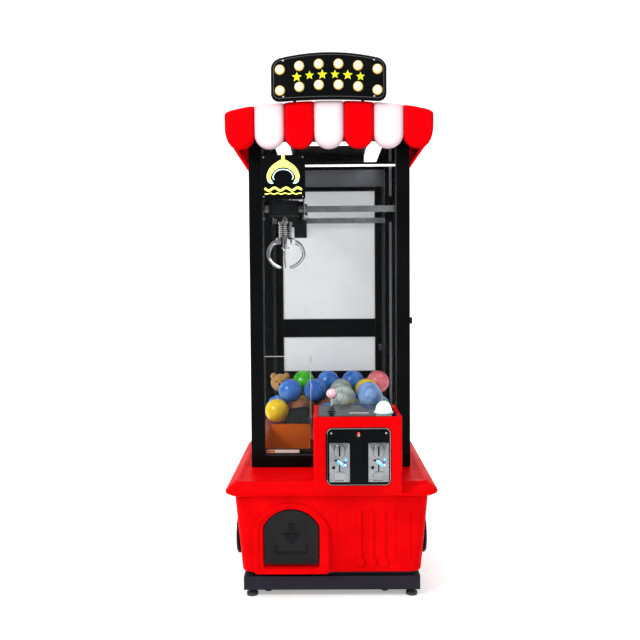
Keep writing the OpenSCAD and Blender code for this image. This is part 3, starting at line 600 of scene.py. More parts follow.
def dome(radius: float, height: float, base: float = 0.0, steps: int = 10, out: float = 1.0) -> list:
    """Give the profile of a dome: a quarter ellipse from its foot to its pole."""
    turn = np.linspace(0, math.pi / 2, steps)
    return [(0.02, out * base - out * 0.5), (radius, out * base - out * 0.5)] + [
        (radius * math.cos(t), out * (base + height * math.sin(t))) for t in turn]


# ---------------------------------------------------------------- base


@dataclass
class RunningGear:
    """Plinth, feet and casters under the base."""

    rounding: float = 1.2

    def build(self) -> None:
        """Finish the steelwork, and put nylon centres on the tyres."""
        polished("plinth", PLINTH, self.rounding)
        polished("levelling_feet", RUBBER, 0.8)
        for node in ("front_caster_left", "front_caster_right", "rear_caster_brackets"):
            polished(node, BRACKET, 0.5)
        for side in ("fl", "fr", "rl", "rr"):
            node = f"caster_wheel_{side}"
            polished(node, RUBBER, 0.4)
            low, high = box_mm(node)
            middle, rear = (low + high) / 2, side[0] == "r"
            axis, half = (Axis.X, (high - low)[0] / 2) if rear else (Axis.Y, (high - low)[1] / 2)
            hub = Shape()
            for out in (-1, 1):
                spot = middle.copy()
                spot[axis.value] += out * (half - 0.6)
                hub.lathe([(5.0, 0), (13, 0), (13, out * 0.9), (9, out * 1.2), (6.5, out * 0.9), (5.0, out * 0.9)],
                          tuple(spot), axis, 32)
            hub.build(f"wheel_centre_{side}", NYLON, f"wheel_{side}")


@dataclass
class Base:
    """The moulded red base: a tapering shell with moulded bars and channels, an overhanging rim, and pods."""

    taper: float = 21.0
    foot: float = 10.0
    corner: float = 34.0
    wall: float = 5.0
    bars: tuple[float, ...] = (92.0, 131.0, 170.0)
    bar_low: float = 123.0
    bar_high: float = 300.0
    channels: tuple[float, ...] = (22.0, 212.0, 262.0)

    def inset(self, z: Array, low: float, high: float) -> Array:
        """How far the wall has drawn in at height z: a straight taper, with a rounded foot below it."""
        lean = self.taper * np.clip((high - z) / (high - low - self.foot), 0, 1)
        drop = np.clip((low + self.foot - z) / self.foot, 0, 1)
        return lean + self.foot * (1 - np.sqrt(1 - drop ** 2)) * 0.9

    def shell(self) -> None:
        """Make the shell: rounded rectangles stacked up the taper, the front pushed in along soft upright
        channels and round the side seams, and left open behind the prize surround."""
        low, high = box_mm("base_shell")
        x0, y0, z0 = low
        x1, y1, z1 = high
        heights = z0 + (z1 - z0) * np.linspace(0, 1, 60)
        rings, front = [], 320
        for z in heights:
            i = float(self.inset(np.array(z), z0, z1))
            rings.append(lifted(rounded_outline((x0 + i, y0 + i), (x1 - i, y1 - min(i, 6)), self.corner, 12,
                                                (40, 60, 40, front)), z, Axis.Z))
        grid = np.stack(rings)
        x, y, z = np.moveaxis(grid, -1, 0)
        band = 1 / (1 + np.exp(-(z - 128) / 2.2)) / (1 + np.exp((z - 306) / 2.2))
        cut = sum(np.exp(-((x - c) / 3.4) ** 4) for c in self.channels)
        forward = y < y0 + 60
        y += np.where(forward, 3.2 * band * cut, 0)
        seam = np.exp(-((z - (z1 - 16)) / 2.0) ** 4)
        x -= np.sign(x) * np.where(abs(y - 15) < 300, 1.6 * seam, 0)
        side_cut = sum(np.exp(-((y - c) / 4) ** 4) for c in (-20.0, 60.0, 140.0, 220.0, 300.0))
        x -= np.where(abs(x) > 270, np.sign(x) * 2.6 * band * side_cut, 0)
        grid = np.stack([x, y, z], -1)
        rows, columns = grid.shape[:2]
        hatch = rounded_outline((-238, 96), (-26, 307), 90, 16)
        middle = (-132.0, 200.0)
        centre = (grid[:-1] + np.roll(grid, -1, 1)[:-1] + grid[1:] + np.roll(grid, -1, 1)[1:]) / 4
        dx, dz = centre[..., 0] - middle[0], centre[..., 2] - middle[1]
        angles = np.linspace(0, TURN, 721)
        limit = np.interp(np.arctan2(dz, dx) % TURN, angles, reach(hatch, middle, angles))
        hidden = (np.hypot(dx, dz) < limit) & (centre[..., 1] < y0 + 60)
        i = np.arange(rows - 1)[:, None] * columns
        j = np.arange(columns)[None]
        turn = (j + 1) % columns
        quads = np.stack([i + j, i + turn, i + columns + turn, i + columns + j], -1)[~hidden]
        piece = Shape().add(grid.reshape(-1, 3), quads)
        piece.build("base_shell_skin", RED, "machine", ("base_shell",), wall=self.wall, smooth=50)

    def mouldings(self) -> None:
        """Lay the leaning half-round bars with their round bosses on the front."""
        low, high = box_mm("base_shell")
        span = np.linspace(self.bar_low - 3, self.bar_high, 40)
        face = low[1] + self.inset(span, low[2], high[2])
        bars = Shape()
        for x in self.bars:
            width = 9.0 * np.sqrt(np.clip(1 - ((span - span.mean()) / (span[-1] - span.mean() + 1)) ** 16, 0, 1))
            bars.tube(np.column_stack([np.full_like(span, x), face + 2.5, span]), width, 24, up=(1, 0, 0))
            spot = (x, float(low[1] + self.inset(np.array(self.bar_low), low[2], high[2])) + 1, self.bar_low)
            bars.lathe([(r, -h) for r, h in ((16.5, -6), (16.5, 3), (15.8, 5.4), (14, 7), (11.4, 7.6), (9.5, 7.0),
                                             (6, 7.6), (0.02, 8.2))], spot, Axis.Y, 40)
        bars.build("front_bars", RED, "machine", smooth=60)

    def rim(self) -> None:
        """Carry the rim's section round the base: under lip, crisp nose, sloping skirt, then a low step."""
        low, high = box_mm("base_rim")
        z0, z1 = low[2], high[2]
        section = [(52, z0 + 1), (20, z0 + 1), (14, z0 + 2.5), (9, z0 + 6), (4, z0 + 8.5), (1.2, z0 + 10.5),
                   (0, z0 + 13.5), (0.2, z0 + 17), (1.6, z0 + 20), (4.5, z0 + 23.5), (16, z1 - 12.5),
                   (24, z1 - 8.6), (28, z1 - 6.4),
                   (30.5, z1 - 2.6), (33, z1 - 0.5), (37, z1), (46, z1), (48, z1 - 1), (51, z1 - 2), (94, z1 - 2),
                   (94, z1 - 8), (52, z1 - 8)]
        rings = [lifted(rounded_outline((low[0] + i, low[1] + i), (high[0] - i, high[1] - i * 0.9),
                                        max(46 - i * 0.55, 8), 14, (24, 24, 24, 24)), z, Axis.Z)
                 for i, z in section]
        Shape().skin(np.stack(rings), loop=True).build("base_rim_moulding", RED, "machine", ("base_rim",),
                                                       smooth=48)
        deck = Shape()
        deck.block((low[0] + 60, low[1] + 60, z1 - 6), (high[0] - 60, -134, z1 - 2.2))
        deck.block((low[0] + 60, 100, z1 - 6), (high[0] - 60, high[1] - 60, z1 - 2.2))
        deck.block((low[0] + 60, -140, z1 - 6), (-236, 110, z1 - 2.2))
        deck.block((-70, -140, z1 - 6), (high[0] - 60, 110, z1 - 2.2))
        deck.build("rim_deck", RED, "machine")

    def speakers(self) -> None:
        """Turn each speaker pod: a ridged ring round a dished grille of concentric slots."""
        low, high = box_mm("side_speakers")
        pods, grilles = Shape(), Shape()
        y, z = (low[1] + high[1]) / 2, (low[2] + high[2]) / 2
        for side in (-1, 1):
            at = (side * 296.0, y, z)
            ring = [(52, -9), (57, -9), (57, 12), (62, 12), (66, 15), (69, 19), (70, 23), (69, 27), (65.5, 30),
                    (61, 31), (57, 30), (54.5, 27), (52, 24)]
            pods.lathe([(r, side * h) for r, h in ring], at, Axis.X, 96)
            steps = np.repeat(np.arange(6, 54, 4.0), 2)[1:]
            slots = [(0.02, 26)] + [(r, 25 - r * 0.04 + (1.5 if k % 2 else -1.5)) for k, r in enumerate(steps)]
            slots += [(53.5, 23), (53.5, 6), (0.02, 6)]
            grilles.lathe([(r, side * h) for r, h in slots], at, Axis.X, 96)
            for k in range(4):
                a = TURN * (k + 0.5) / 4
                pods.screw((side * 326.0, y + 61 * math.cos(a), z + 61 * math.sin(a)), 2.6, Axis.X, side)
        pods.build("speaker_pods", BLACK_ABS, "machine", ("side_speakers",), smooth=28)
        grilles.build("speaker_grilles", BRACKET, "machine", smooth=28)

    def build(self) -> None:
        """Make every piece of the base."""
        self.shell()
        self.mouldings()
        self.rim()
        self.speakers()


@dataclass
class PrizeHatch:
    """The arched surround, the flap in it, the ledge below it and the pocket behind it."""

    middle: tuple[float, float] = (-132.0, 200.0)
    opening: float = 183.0
    sill: float = 106.0
    spring: float = 230.0
    crown: float = 302.0
    hinge: tuple[float, float] = (-341.0, 276.0)
    frame_half: float = 124.0
    frame_rise: float = 83.0
    frame_crown: float = 323.0

    def arch(self, grow: float) -> Array:
        """Outline of the opening: straight sides on small round corners, under a flat circular arch."""
        half, rise = self.opening / 2 + grow, self.crown + grow - self.spring - 14
        radius = (half ** 2 + rise ** 2) / (2 * rise)
        sweep = math.asin(min(half / radius, 1)) if rise < half else math.pi - math.asin(half / radius)
        turn = np.linspace(sweep, -sweep, 60)
        top = np.column_stack([self.middle[0] + radius * np.sin(turn),
                               self.crown + grow - radius + radius * np.cos(turn)])
        foot = rounded_outline((self.middle[0] - half, self.sill - grow), (self.middle[0] + half, self.crown), 13, 8)
        foot = foot[foot[:, 1] < self.spring]
        left = foot[foot[:, 0] < self.middle[0]]
        right = foot[foot[:, 0] >= self.middle[0]]
        left, right = left[np.argsort(-left[:, 1])], right[np.argsort(right[:, 1])]
        return np.vstack([left, right, top])

    def frame_outline(self, grow: float) -> Array:
        """Outline of the surround: a square foot with round corners under a broad shallow arch."""
        half, rise = self.frame_half + grow, self.frame_rise
        radius = (half ** 2 + rise ** 2) / (2 * rise)
        turn = np.linspace(1, -1, 60) * math.asin(half / radius)
        top = np.column_stack([self.middle[0] + radius * np.sin(turn),
                               self.frame_crown + grow - radius + radius * np.cos(turn)])
        left, right = self.middle[0] - half, self.middle[0] + half
        foot = [(left, 240), (left, 94 - grow), (left + 8, 88 - grow),
                (right - 8, 88 - grow), (right, 94 - grow), (right, 240)]
        return np.vstack([np.array(foot, float), top])

    def surround(self) -> None:
        """Carry the moulding's section from the outer outline to the opening: rounded outer edge, flat
        face, soft step down, flat inner band, and a rolled inner edge."""
        angles = np.arange(360) * TURN / 360
        outer = reach(self.frame_outline(0), self.middle, angles)
        inner = reach(self.arch(0.4), self.middle, angles)
        section = [(0, -330), (0, -358), (0.03, -361.5), (0.09, -363.6), (0.16, -364), (0.44, -364), (0.50, -363.2),
                   (0.55, -361), (0.60, -360.2), (0.90, -360), (0.96, -359.2), (1.0, -356.5), (1.0, -330)]
        rings = []
        for share, y in section:
            r = outer * (1 - share) + inner * share
            rings.append(lifted(np.column_stack([self.middle[0] + r * np.cos(angles),
                                                 self.middle[1] + r * np.sin(angles)]), y, Axis.Y))
        shape = Shape().skin(np.stack(rings), loop=True)
        shape.build("prize_surround_moulding", RED, "machine", ("prize_surround",), smooth=50)
        ledge = np.array([(-363.5, 90), (-330, 90), (-330, 114), (-336, 115), (-360, 101), (-363.5, 97)])
        Shape().prism(ledge, self.middle[0] - 88, self.middle[0] + 88, Axis.X).build(
            "prize_ledge", RED, "machine", bevel=1.5)
        polished("prize_pocket", BLACK_ABS, 0.4)

    def flap(self) -> None:
        """Make the flap: a plate of the arch's outline with a raised border and a raised icon on it."""
        angles = np.arange(360) * TURN / 360
        middle = (self.middle[0], 205.0)
        whole = self.arch(-2.0)
        whole[:, 1] = np.maximum(whole[:, 1], self.sill + 14)
        r = reach(whole, middle, angles)
        section = [(1.0, -354), (1.0, -356.4), (0.992, -357.6), (0.98, -358), (0.925, -358),
                   (0.91, -357.5), (0.90, -356.6), (0.885, -356.2), (0.4, -356.2), (0.01, -356.2)]
        rings = [lifted(np.column_stack([middle[0] + r * s * np.cos(angles), middle[1] + r * s * np.sin(angles)]),
                        y, Axis.Y) for s, y in section]
        plate = Shape().skin(np.stack(rings))
        hinge_y, hinge_z = self.hinge
        plate.tube(np.array([(middle[0] - 98.5, hinge_y, hinge_z), (middle[0] + 98.5, hinge_y, hinge_z)]), 4, 20)
        for x in (-46, 34):
            plate.block((middle[0] + x, -354.5, hinge_z - 9), (middle[0] + x + 12, hinge_y, hinge_z + 4))
        plate.build("prize_flap", FLAP_ABS, "prize_door", ("prize_door",), smooth=40)
        icon = Shape()
        arrow = np.array([(-9, 26), (-9, -2), (-24, -2), (0, -30), (24, -2), (9, -2), (9, 26)], float)
        icon.prism(arrow[::-1] * 1.25 + np.array([middle[0], 222]), -358.2, -355.8)
        icon.tube(np.array([(middle[0] + x, -356.4, z) for x, z in
                            ((-52, 182), (-52, 158), (52, 158), (52, 182))], float), 4, 10, up=(0, 1, 0), squeeze=0.5)
        icon.build("prize_flap_icon", BLACK_ABS, "prize_door", bevel=0.5)

    def build(self) -> None:
        """Make the surround and the flap."""
        self.surround()
        self.flap()


# ---------------------------------------------------------------- console


@dataclass
class Console:
    """The red control console with its stick, start button and coin door."""

    plate_half: float = 32.5
    plate_tall: float = 62.5

    def housing(self) -> None:
        """Finish the housing, its glass top and the small parts set in it."""
        polished("console_shell", RED, 3.0, 30)
        polished("console_top", BLACK_GLASS, 0.8)
        low, high = box_mm("console_top")
        trim = Shape()
        outline = rounded_outline((low[0] - 4, low[1] - 4), (high[0] + 4, high[1] + 4), 9, 8)
        trim.tube(lifted(outline, high[2] - 0.8, Axis.Z), 1.5, 8, loop=True, squeeze=0.7)
        trim.build("console_bead", BLACK_ABS, "machine")
        strip = rounded_outline((60, low[1] + 52), (124, low[1] + 62), 2, 4)
        Shape().plate(strip, high[2] - 0.2, high[2] + 0.5, 0.2, Axis.Z).build("console_strip", LABEL, "machine")

    def stick(self) -> None:
        """Dress the joystick: chrome shaft, a small ribbed boot above the plate and a faceted resin knob."""
        for node in ("joystick_mount", "joystick_gimbal"):
            polished(node, ZINC, 0.4)
        low, high = box_mm("joystick_stick")
        x, y, top = (low[0] + high[0]) / 2, (low[1] + high[1]) / 2, high[2]
        base = box_mm("console_top")[1][2]
        shaft = Shape().lathe([(0.02, low[2]), (4, low[2]), (4, base - 30), (8, base - 30), (8, base - 16),
                               (4, base - 16), (4, top - 30), (7, top - 27), (7, top - 20), (0.02, top - 20)],
                              (x, y, 0))
        shaft.tube(np.array([(x, y - 17.8, base - 27), (x, y + 17.8, base - 27)]), 3, 16)
        shaft.build("joystick_shaft", CHROME, "joystick_stick", ("joystick_stick",), bevel=0.3)
        knob = Shape()
        turn = np.linspace(-1.35, math.pi / 2, 26)
        knob.lathe([(17.5 * math.cos(t), top - 17.5 + 17.5 * math.sin(t)) for t in turn], (x, y, 0), sides=14)
        knob.build("joystick_knob", CRYSTAL, "joystick_stick", smooth=20)
        boot = [(12, base + 5.5), (12, base + 6.6), (10.4, base + 7.2), (10.8, base + 8.6), (8, base + 10.6),
                (8.4, base + 12), (6, base + 15), (6.3, base + 16.4), (4.4, base + 20), (4.1, base + 20)]
        Shape().lathe(boot, (x, y, 0)).build("joystick_boot", RUBBER, "joystick_stick")

    def start_button(self) -> None:
        """Turn the start button: a teal ring with a stepped lip round a domed white lens."""
        low, high = box_mm("button_bezel")
        x, y, top = (low[0] + high[0]) / 2, (low[1] + high[1]) / 2, high[2]
        foot = top - 5
        ring = [(27.1, foot), (32, foot), (32, foot + 1.6), (31.3, foot + 3), (29.8, foot + 4.3), (28.4, top),
                (27.4, top), (27.1, top - 0.5)]
        Shape().lathe(ring + ring[:1], (x, y, 0), sides=72).build("button_ring", TEAL, "machine", ("button_bezel",))
        Shape().lathe([(9.1, foot - 30), (13.4, foot - 30), (13.4, foot), (9.1, foot)], (x, y, 0)).block(
            (x - 11, y - 6, foot - 48), (x + 11, y + 6, foot - 30)).build("button_body", WHITE_ABS, "machine")
        low, high = box_mm("button_dome")
        cap = [(0.02, low[2]), (9, low[2]), (9, foot + 4.7), (26.6, foot + 4.7), (26.9, top)] + [
            (26.9 * math.cos(t), top + (high[2] - top) * math.sin(t)) for t in np.linspace(0.06, math.pi / 2, 14)]
        Shape().lathe(cap, (x, y, 0), sides=72).build("button_lens", LENS, "button", ("button_dome",))

    def coin_plate(self, x: float, plates: Shape, dark: Shape, lit: Shape, white: Shape) -> None:
        """Add one coin acceptor's parts to the shapes of their finishes.

        Args:
            x: middle of the plate across the machine.
            plates: brushed steel parts.
            dark: black parts, and thin black sheets that paint the shade in the slot openings.
            lit: blue signal lights.
            white: white parts.
        """
        y, z = -414.0, 468.0
        outline = rounded_outline((x - self.plate_half, z - self.plate_tall),
                                  (x + self.plate_half, z + self.plate_tall), 3, 4)
        plates.plate(outline, y, y + 3, 0.8)
        oval = np.column_stack([x + 17 * np.sin(-np.linspace(0, TURN, 48, endpoint=False)),
                                z + 37 + 23 * np.cos(np.linspace(0, TURN, 48, endpoint=False))])
        plates.plate(oval, y - 5, y + 1, 2.2)
        dark.tube(lifted(oval, y - 1.2, Axis.Y), 1.0, 6, loop=True, up=(0, 1, 0))
        # A thin black sheet in front of the oval paints the shade in the coin slot.
        dark.prism(rounded_outline((x - 2.6, z + 20), (x + 2.6, z + 54), 2.4, 4), y - 5.5, y - 4.6)
        dark.plate(rounded_outline((x - 17, z + 4), (x + 1, z + 10), 2, 4), y - 1.2, y + 1, 0.4)
        lit.lathe([(3.4, 0.5), (3.4, -1.2), (2.2, -2.4), (0.02, -2.8)], (x + 20, y - 0.6, z + 10), Axis.Y, 20)
        lever = rounded_outline((-15, -4), (15, 4), 3.8, 6) @ np.array([[0.80, -0.60], [0.60, 0.80]]) + [x + 5, z - 2]
        lit.plate(lever, y - 3.4, y + 0.5, 1.2)
        white.plate(shrunk(lever, 2.2) + [1.5, 2.2], y - 4.0, y - 2.8, 0.3)
        # A thin black strip paints the shade in the narrow slot below the lever.
        dark.prism(rounded_outline((x - 2, z - 29), (x + 2, z - 7), 1.8, 4), y - 0.4, y + 0.6)
        frame_ring = rounded_outline((x - 18.5, z - 59), (x + 18.5, z - 31), 4, 5)
        plates.tube(lifted(frame_ring, y - 0.6, Axis.Y), 2.0, 10, loop=True, up=(0, 1, 0))
        cup = rounded_outline((x - 16.5, z - 57), (x + 16.5, z - 33), 3, 5)
        rings = [lifted(shrunk(cup, i), d, Axis.Y)
                 for i, d in ((0, y - 0.3), (0, y + 24), (-1.2, y + 24), (-1.2, y - 0.3))]
        dark.skin(np.stack(rings), loop=True)
        dark.prism(cup, y + 23, y + 24.5)
        dark.block((x - 25, y + 25, z - 54), (x + 25, y + 50, z + 54))
        dark.lathe([(5.4, 0.5), (5.4, -0.9), (4.2, -1.3), (0.02, -1.3)], (x - 19, y, z - 16), Axis.Y, 24)
        for dx in (-28, 28):
            for dz in (-57, 57):
                plates.screw((x + dx, y, z + dz), 3.0)

    def coin_door(self) -> None:
        """Dress the coin door, its two coin plates, the lock, the return buttons and the cup flaps."""
        polished("coin_door", CABINET, 0.8)
        plates, dark, lit, white = Shape(), Shape(), Shape(), Shape()
        for x in (26.0, 150.0):
            self.coin_plate(x, plates, dark, lit, white)
        plates.build("coin_plate_steel", STEEL, "coin_door", ("coin_plates",), smooth=28)
        dark.build("coin_plate_slots", BLACK_ABS, "coin_door")
        lit.build("coin_plate_lights", LED_BLUE, "coin_door")
        white.build("coin_plate_tabs", WHITE_ABS, "coin_door")
        trim = Shape()
        edge = rounded_outline((-13, 396), (187, 576), 16, 8)
        trim.tube(lifted(edge, -411.2, Axis.Y), 0.9, 8, loop=True, up=(0, 1, 0))
        for x in (0, 174):
            trim.screw((x, -411, 562), 3.4)
        trim.build("coin_door_trim", ZINC, "coin_door")
        polished("coin_lock", CHROME, 0.4)
        collar = [(9.2, -0.5), (12, -0.5), (12, -3), (11, -4.2), (9.8, -4.4), (9.2, -4)]
        Shape().lathe(collar + collar[:1], (87, -410.6, 555), Axis.Y).build("coin_lock_collar", BLACK_ABS, "coin_door")
        Shape().lathe([(8.8, -3.6), (8.8, -4.3), (4.4, -4.4), (4.4, -3.6)], (87, -410.6, 555), Axis.Y).build(
            "coin_lock_face", BLACK_ABS, "coin_lock")
        Shape().lathe([(r, -h) for r, h in dome(3.6, 1.2)], (87, -415.2, 561), Axis.Y, 24).build(
            "coin_lock_light", LED_RED, "coin_lock")
        for side, x in (("left", 44.0), ("right", 168.0)):
            at = (x, -410, 462)
            cap = [(0.02, 12), (6.5, 12), (6.5, -11), (6.1, -12), (5, -12.6), (4.4, -12), (0.02, -12)]
            Shape().lathe(cap, at, Axis.Y, 32).build(f"return_knob_{side}", BUTTON_BLUE, f"return_button_{side}",
                                                     (f"return_button_{side}",))
            Shape().lathe([(4.3, -11.8), (4.3, -12.8), (0.02, -13)], at, Axis.Y, 24).build(
                f"return_mark_{side}", WHITE_ABS, f"return_button_{side}")
            polished(f"return_flap_{side}", STEEL, 0.3)

    def build(self) -> None:
        """Make every piece of the console."""
        self.housing()
        self.stick()
        self.start_button()
        self.coin_door()


# ---------------------------------------------------------------- cabinet


@dataclass
class Cabinet:
    """Steel frame, panes, doors, roof and lights of the prize bay."""

    strip: float = 9.0

    def steelwork(self) -> None:
        """Finish the frame, its doors and roof, and add the drawn trims round the panes."""
        polished("cabinet_frame", CABINET, 2.2)
        polished("side_door", CABINET, 1.2)
        polished("rear_door", CABINET, 1.2)
        polished("roof", CABINET, 1.2)
        polished("side_door_latch", BLACK_ABS, 0.8)
        polished("rear_door_lock", CHROME, 0.5)
        low, high = box_mm("cabinet_frame")
        gaskets = Shape()
        for x in (-233.5, 233.5):
            gaskets.tube(np.array([(x, low[1] + 11, 432), (x, low[1] + 11, 1539)], float), 1.8, 8, up=(0, 1, 0))
        gaskets.tube(np.array([(-233, low[1] + 11, 432), (233, low[1] + 11, 432)], float), 1.8, 8)
        gaskets.build("pane_gasket", RUBBER, "machine")
        strips = Shape()
        for x in (high[0] - 58, high[0] - 22):
            for z0, z1 in ((500, 1256), (1348, 1530)):
                strips.block((x - self.strip, low[1] + 52, z0), (x, low[1] + 56, z1))
        strips.block((low[0] + 20, low[1] + 52, 500), (low[0] + 20 + 5, low[1] + 56, 1530))
        strips.build("light_strips", ALUMINIUM, "machine", bevel=0.8)
        screws = Shape()
        for x in (-257, 257):
            for z in (440, 700, 1000, 1300):
                screws.screw((x, low[1], z), 2.6)
        screws.build("post_screws", BLACK_ABS, "machine")

    def panes(self) -> None:
        """Finish the panes and the opal rear windows, with the rails and seals round them."""
        polished("fixed_glass", GLASS, 0.4)
        polished("side_door_glass", GLASS, 0.4)
        polished("rear_door_windows", OPAL, 0.4)
        low, high = box_mm("rear_door_windows")
        band = Shape()
        band.block((-232, low[1] - 15, 1449), (232, low[1] - 11, 1512))
        band.block((-232, low[1] - 17, 1446), (232, low[1] - 10, 1450))
        band.block((-232, low[1] - 17, 1511), (232, low[1] - 10, 1515))
        band.build("header_band", ALUMINIUM, "rear_door", bevel=0.6)
        seals = Shape()
        for z0, z1 in ((672, 819), (892, 1430)):
            outline = rounded_outline((low[0], z0), (high[0], z1), 4, 4)
            seals.tube(lifted(outline, low[1] - 1, Axis.Y), 2.2, 8, loop=True, up=(0, 1, 0))
        seals.build("rear_seals", RUBBER, "rear_door")

    def bed(self) -> None:
        """Finish the prize bed and the orange chute with its acrylic guard and bright clips."""
        polished("prize_bed", BED, 0.6)
        polished("chute_walls", ORANGE, 0.4)
        polished("chute_guard", ACRYLIC, 0.5)
        low, high = box_mm("chute_guard")
        edges = Shape()
        corner = (high[0] - 2, high[1] - 2, high[2])
        for start, up in (((corner[0], low[1], high[2]), (0, 0, 1)), ((low[0], corner[1], high[2]), (0, 0, 1)),
                          ((corner[0], corner[1], low[2]), (0, 1, 0))):
            edges.tube(np.array([start, corner], float), 1.2, 8, up=up)
        edges.build("guard_edges", WHITE_ABS, "machine")
        clips = Shape()
        for z in (520, 640, 740):
            clips.block((high[0] - 0.5, high[1] - 14, z), (high[0] + 2, high[1] + 1, z + 14))
        clips.build("guard_clips", ZINC, "machine", bevel=0.6)
        lining = Shape()
        lining.block((-229, 101.5, 352), (-78, 104.8, 497))
        lining.build("chute_lining", ORANGE, "machine", bevel=0.5)
        lip = Shape()
        lip.block((-233, -137.4, 432), (233, -133.6, 453))
        lip.build("sill_lip", CABINET, "machine", bevel=0.8)
        Shape().plate(rounded_outline((-228, 438), (-112, 449.5), 1.5, 4), -137.9, -137.2, 0.2).build(
            "sill_strip", LABEL, "machine")
        Shape().plate(rounded_outline((-226.5, 439.5), (-198, 448), 1, 4), -138.3, -137.6, 0.2).build(
            "sill_strip_end", ORANGE, "machine")
        card = np.array([(-176, 499), (-84, 499), (-84, 566), (-158, 556)], float)
        Shape().prism(card, 109.5, 111.5).build("bay_card", BLACK_GLASS, "machine", bevel=0.8)

    def lights(self) -> None:
        """Finish the ceiling's light frame, as diffusers held in satin channels."""
        lamps, tray = Shape(), Shape()
        for x in (-195, 145):
            lamps.block((x, -100, 1536), (x + 50, 330, 1560))
        lamps.block((-144.7, -100, 1536), (144.7, -50, 1560))
        lamps.block((-233, -125, 1450), (233, -115, 1456))
        lamps.build("ceiling_lamps", LED, "machine", ("ceiling_lights",), bevel=1.0)
        tray.block((-144.7, 280, 1536), (144.7, 330, 1560))
        tray.block((-233, -126, 1457), (233, -114, 1464))
        tray.build("lamp_trays", CABINET, "machine", bevel=1.0)
        stops = Shape()
        for side in (-1, 1):
            stops.block((min(side * 222, side * 233.6), 361, 455), (max(side * 222, side * 233.6), 364.4, 1496))
        stops.build("rear_door_stops", RUBBER, "machine", bevel=0.6)
        channel = Shape()
        for x in (-198, 195):
            channel.block((x, -103, 1540), (x + 3, 333, 1562))
        for y in (-103, 330):
            channel.block((-195, y, 1540), (195, y + 3, 1562))
        channel.build("light_channels", ALUMINIUM, "machine", bevel=0.6)

    def inlet(self) -> None:
        """Finish the mains inlet, and add the vent louvres."""
        polished("power_inlet", BLACK_ABS, 0.6)
        vents = Shape()
        for k in range(7):
            z = 160 + k * 16
            vents.plate(rounded_outline((-150, z), (10, z + 9), 4, 5), 383.2, 386.4, 1.0)
        vents.build("rear_louvres", RED, "machine")

    def build(self) -> None:
        """Make every piece of the cabinet."""
        self.steelwork()
        self.panes()
        self.bed()
        self.lights()
        self.inlet()


# ---------------------------------------------------------------- gantry and claw


@dataclass
class Gantry:
    """Rails, bridge, carriage, winch and hoist cord."""

    def travel(self) -> None:
        """Finish the rails and the bridge, and add slotted side plates, guide rollers and a motor."""
        polished("gantry_rails", RAIL, 0.8)
        polished("bridge", BLACK_ABS, 1.2)
        low, high = box_mm("bridge")
        x = (low[0] + high[0]) / 2
        plates = Shape()
        for side in (-1, 1):
            at = x + side * 72.2
            plates.block((at - 0.8, -130, 1268), (at + 0.8, -80, 1339))
            for z in (1280, 1296, 1312, 1326):
                slot = rounded_outline((-122, z - 4), (-88, z + 4), 3.9, 6)
                plates.tube(lifted(slot, at + side * 0.9, Axis.X), 0.9, 6, loop=True, up=(1, 0, 0))
            for y in (-126, -84):
                plates.screw((at + side * 0.8, y, 1334), 2.6, Axis.X, side)
        plates.build("bridge_side_plates", ZINC, "bridge", bevel=0.3)
        motor = Shape()
        motor.lathe([(0.02, 0), (15, 0), (16, 1.5), (16, 34), (14, 36), (5, 36), (5, 40), (0.02, 40)],
                    (x + 66, -61, 1290), Axis.Z, 40)
        motor.block((x + 48, -79, 1286), (x + 84, -43, 1291))
        sensor = Shape()
        sensor.block((x + 36, -98, 1204), (x + 80, -56, 1264))
        sensor.block((x + 52, -90, 1263), (x + 66, -74, 1292))
        sensor.build("bridge_sensor_box", BLACK_ABS, "bridge", bevel=1.2)
        motor.build("travel_motor", BRACKET, "bridge", bevel=0.5)
        rollers = Shape()
        for dx in (-36, 36):
            for y in (-100, 341):
                rollers.lathe([(3, -4), (8.6, -4), (9, -3), (7.6, 0), (9, 3), (8.6, 4), (3, 4)], (x + dx, y, 1323.5),
                              Axis.X, 28)
        rollers.build("guide_rollers", NYLON, "bridge")

    def hoist(self) -> None:
        """Finish the carriage, wind the drum, and twist the cord from the drum down to the claw."""
        polished("carriage", BRACKET, 1.0)
        polished("winch_drum", NYLON, 0.6)
        low, high = box_mm("winch_drum")
        middle = (low + high) / 2
        turns = np.linspace(0, TURN * 7, 240)
        winding = np.column_stack([middle[0] - 10 + 20 * turns / turns[-1], middle[1] + 19.4 * np.cos(turns),
                                   middle[2] + 19.4 * np.sin(turns)])
        Shape().tube(winding, 1.4, 6, up=(1, 0, 0)).build("drum_winding", CORD, "winch_drum")
        low, high = box_mm("hoist_cord")
        x, y = (low[0] + high[0]) / 2, (low[1] + high[1]) / 2
        z = np.linspace(low[2], high[2], 90)
        cord = Shape()
        for strand in range(3):
            a = z / 9 * TURN / 2 + TURN * strand / 3
            cord.tube(np.column_stack([x + 0.65 * np.cos(a), y + 0.65 * np.sin(a), z]), 0.85, 6, up=(0, 1, 0))
        piece = cord.build("hoist_cord_twist", CORD, "carriage", ("hoist_cord",))
        piece.parent = None
        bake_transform(piece)
        hose = Shape()
        path = through([(x + 28, y + 12, 1300), (x + 40, y + 14, 1262), (x + 52, y + 8, 1232), (x + 60, y, 1250),
                        (x + 56, y - 6, 1292)], 12)
        hose.tube(path, 2.2, 10, up=(0, 1, 0))
        hose.build("carriage_lead", BLACK_ABS, "carriage")

    def build(self) -> None:
        """Make every piece of the gantry."""
        self.travel()
        self.hoist()


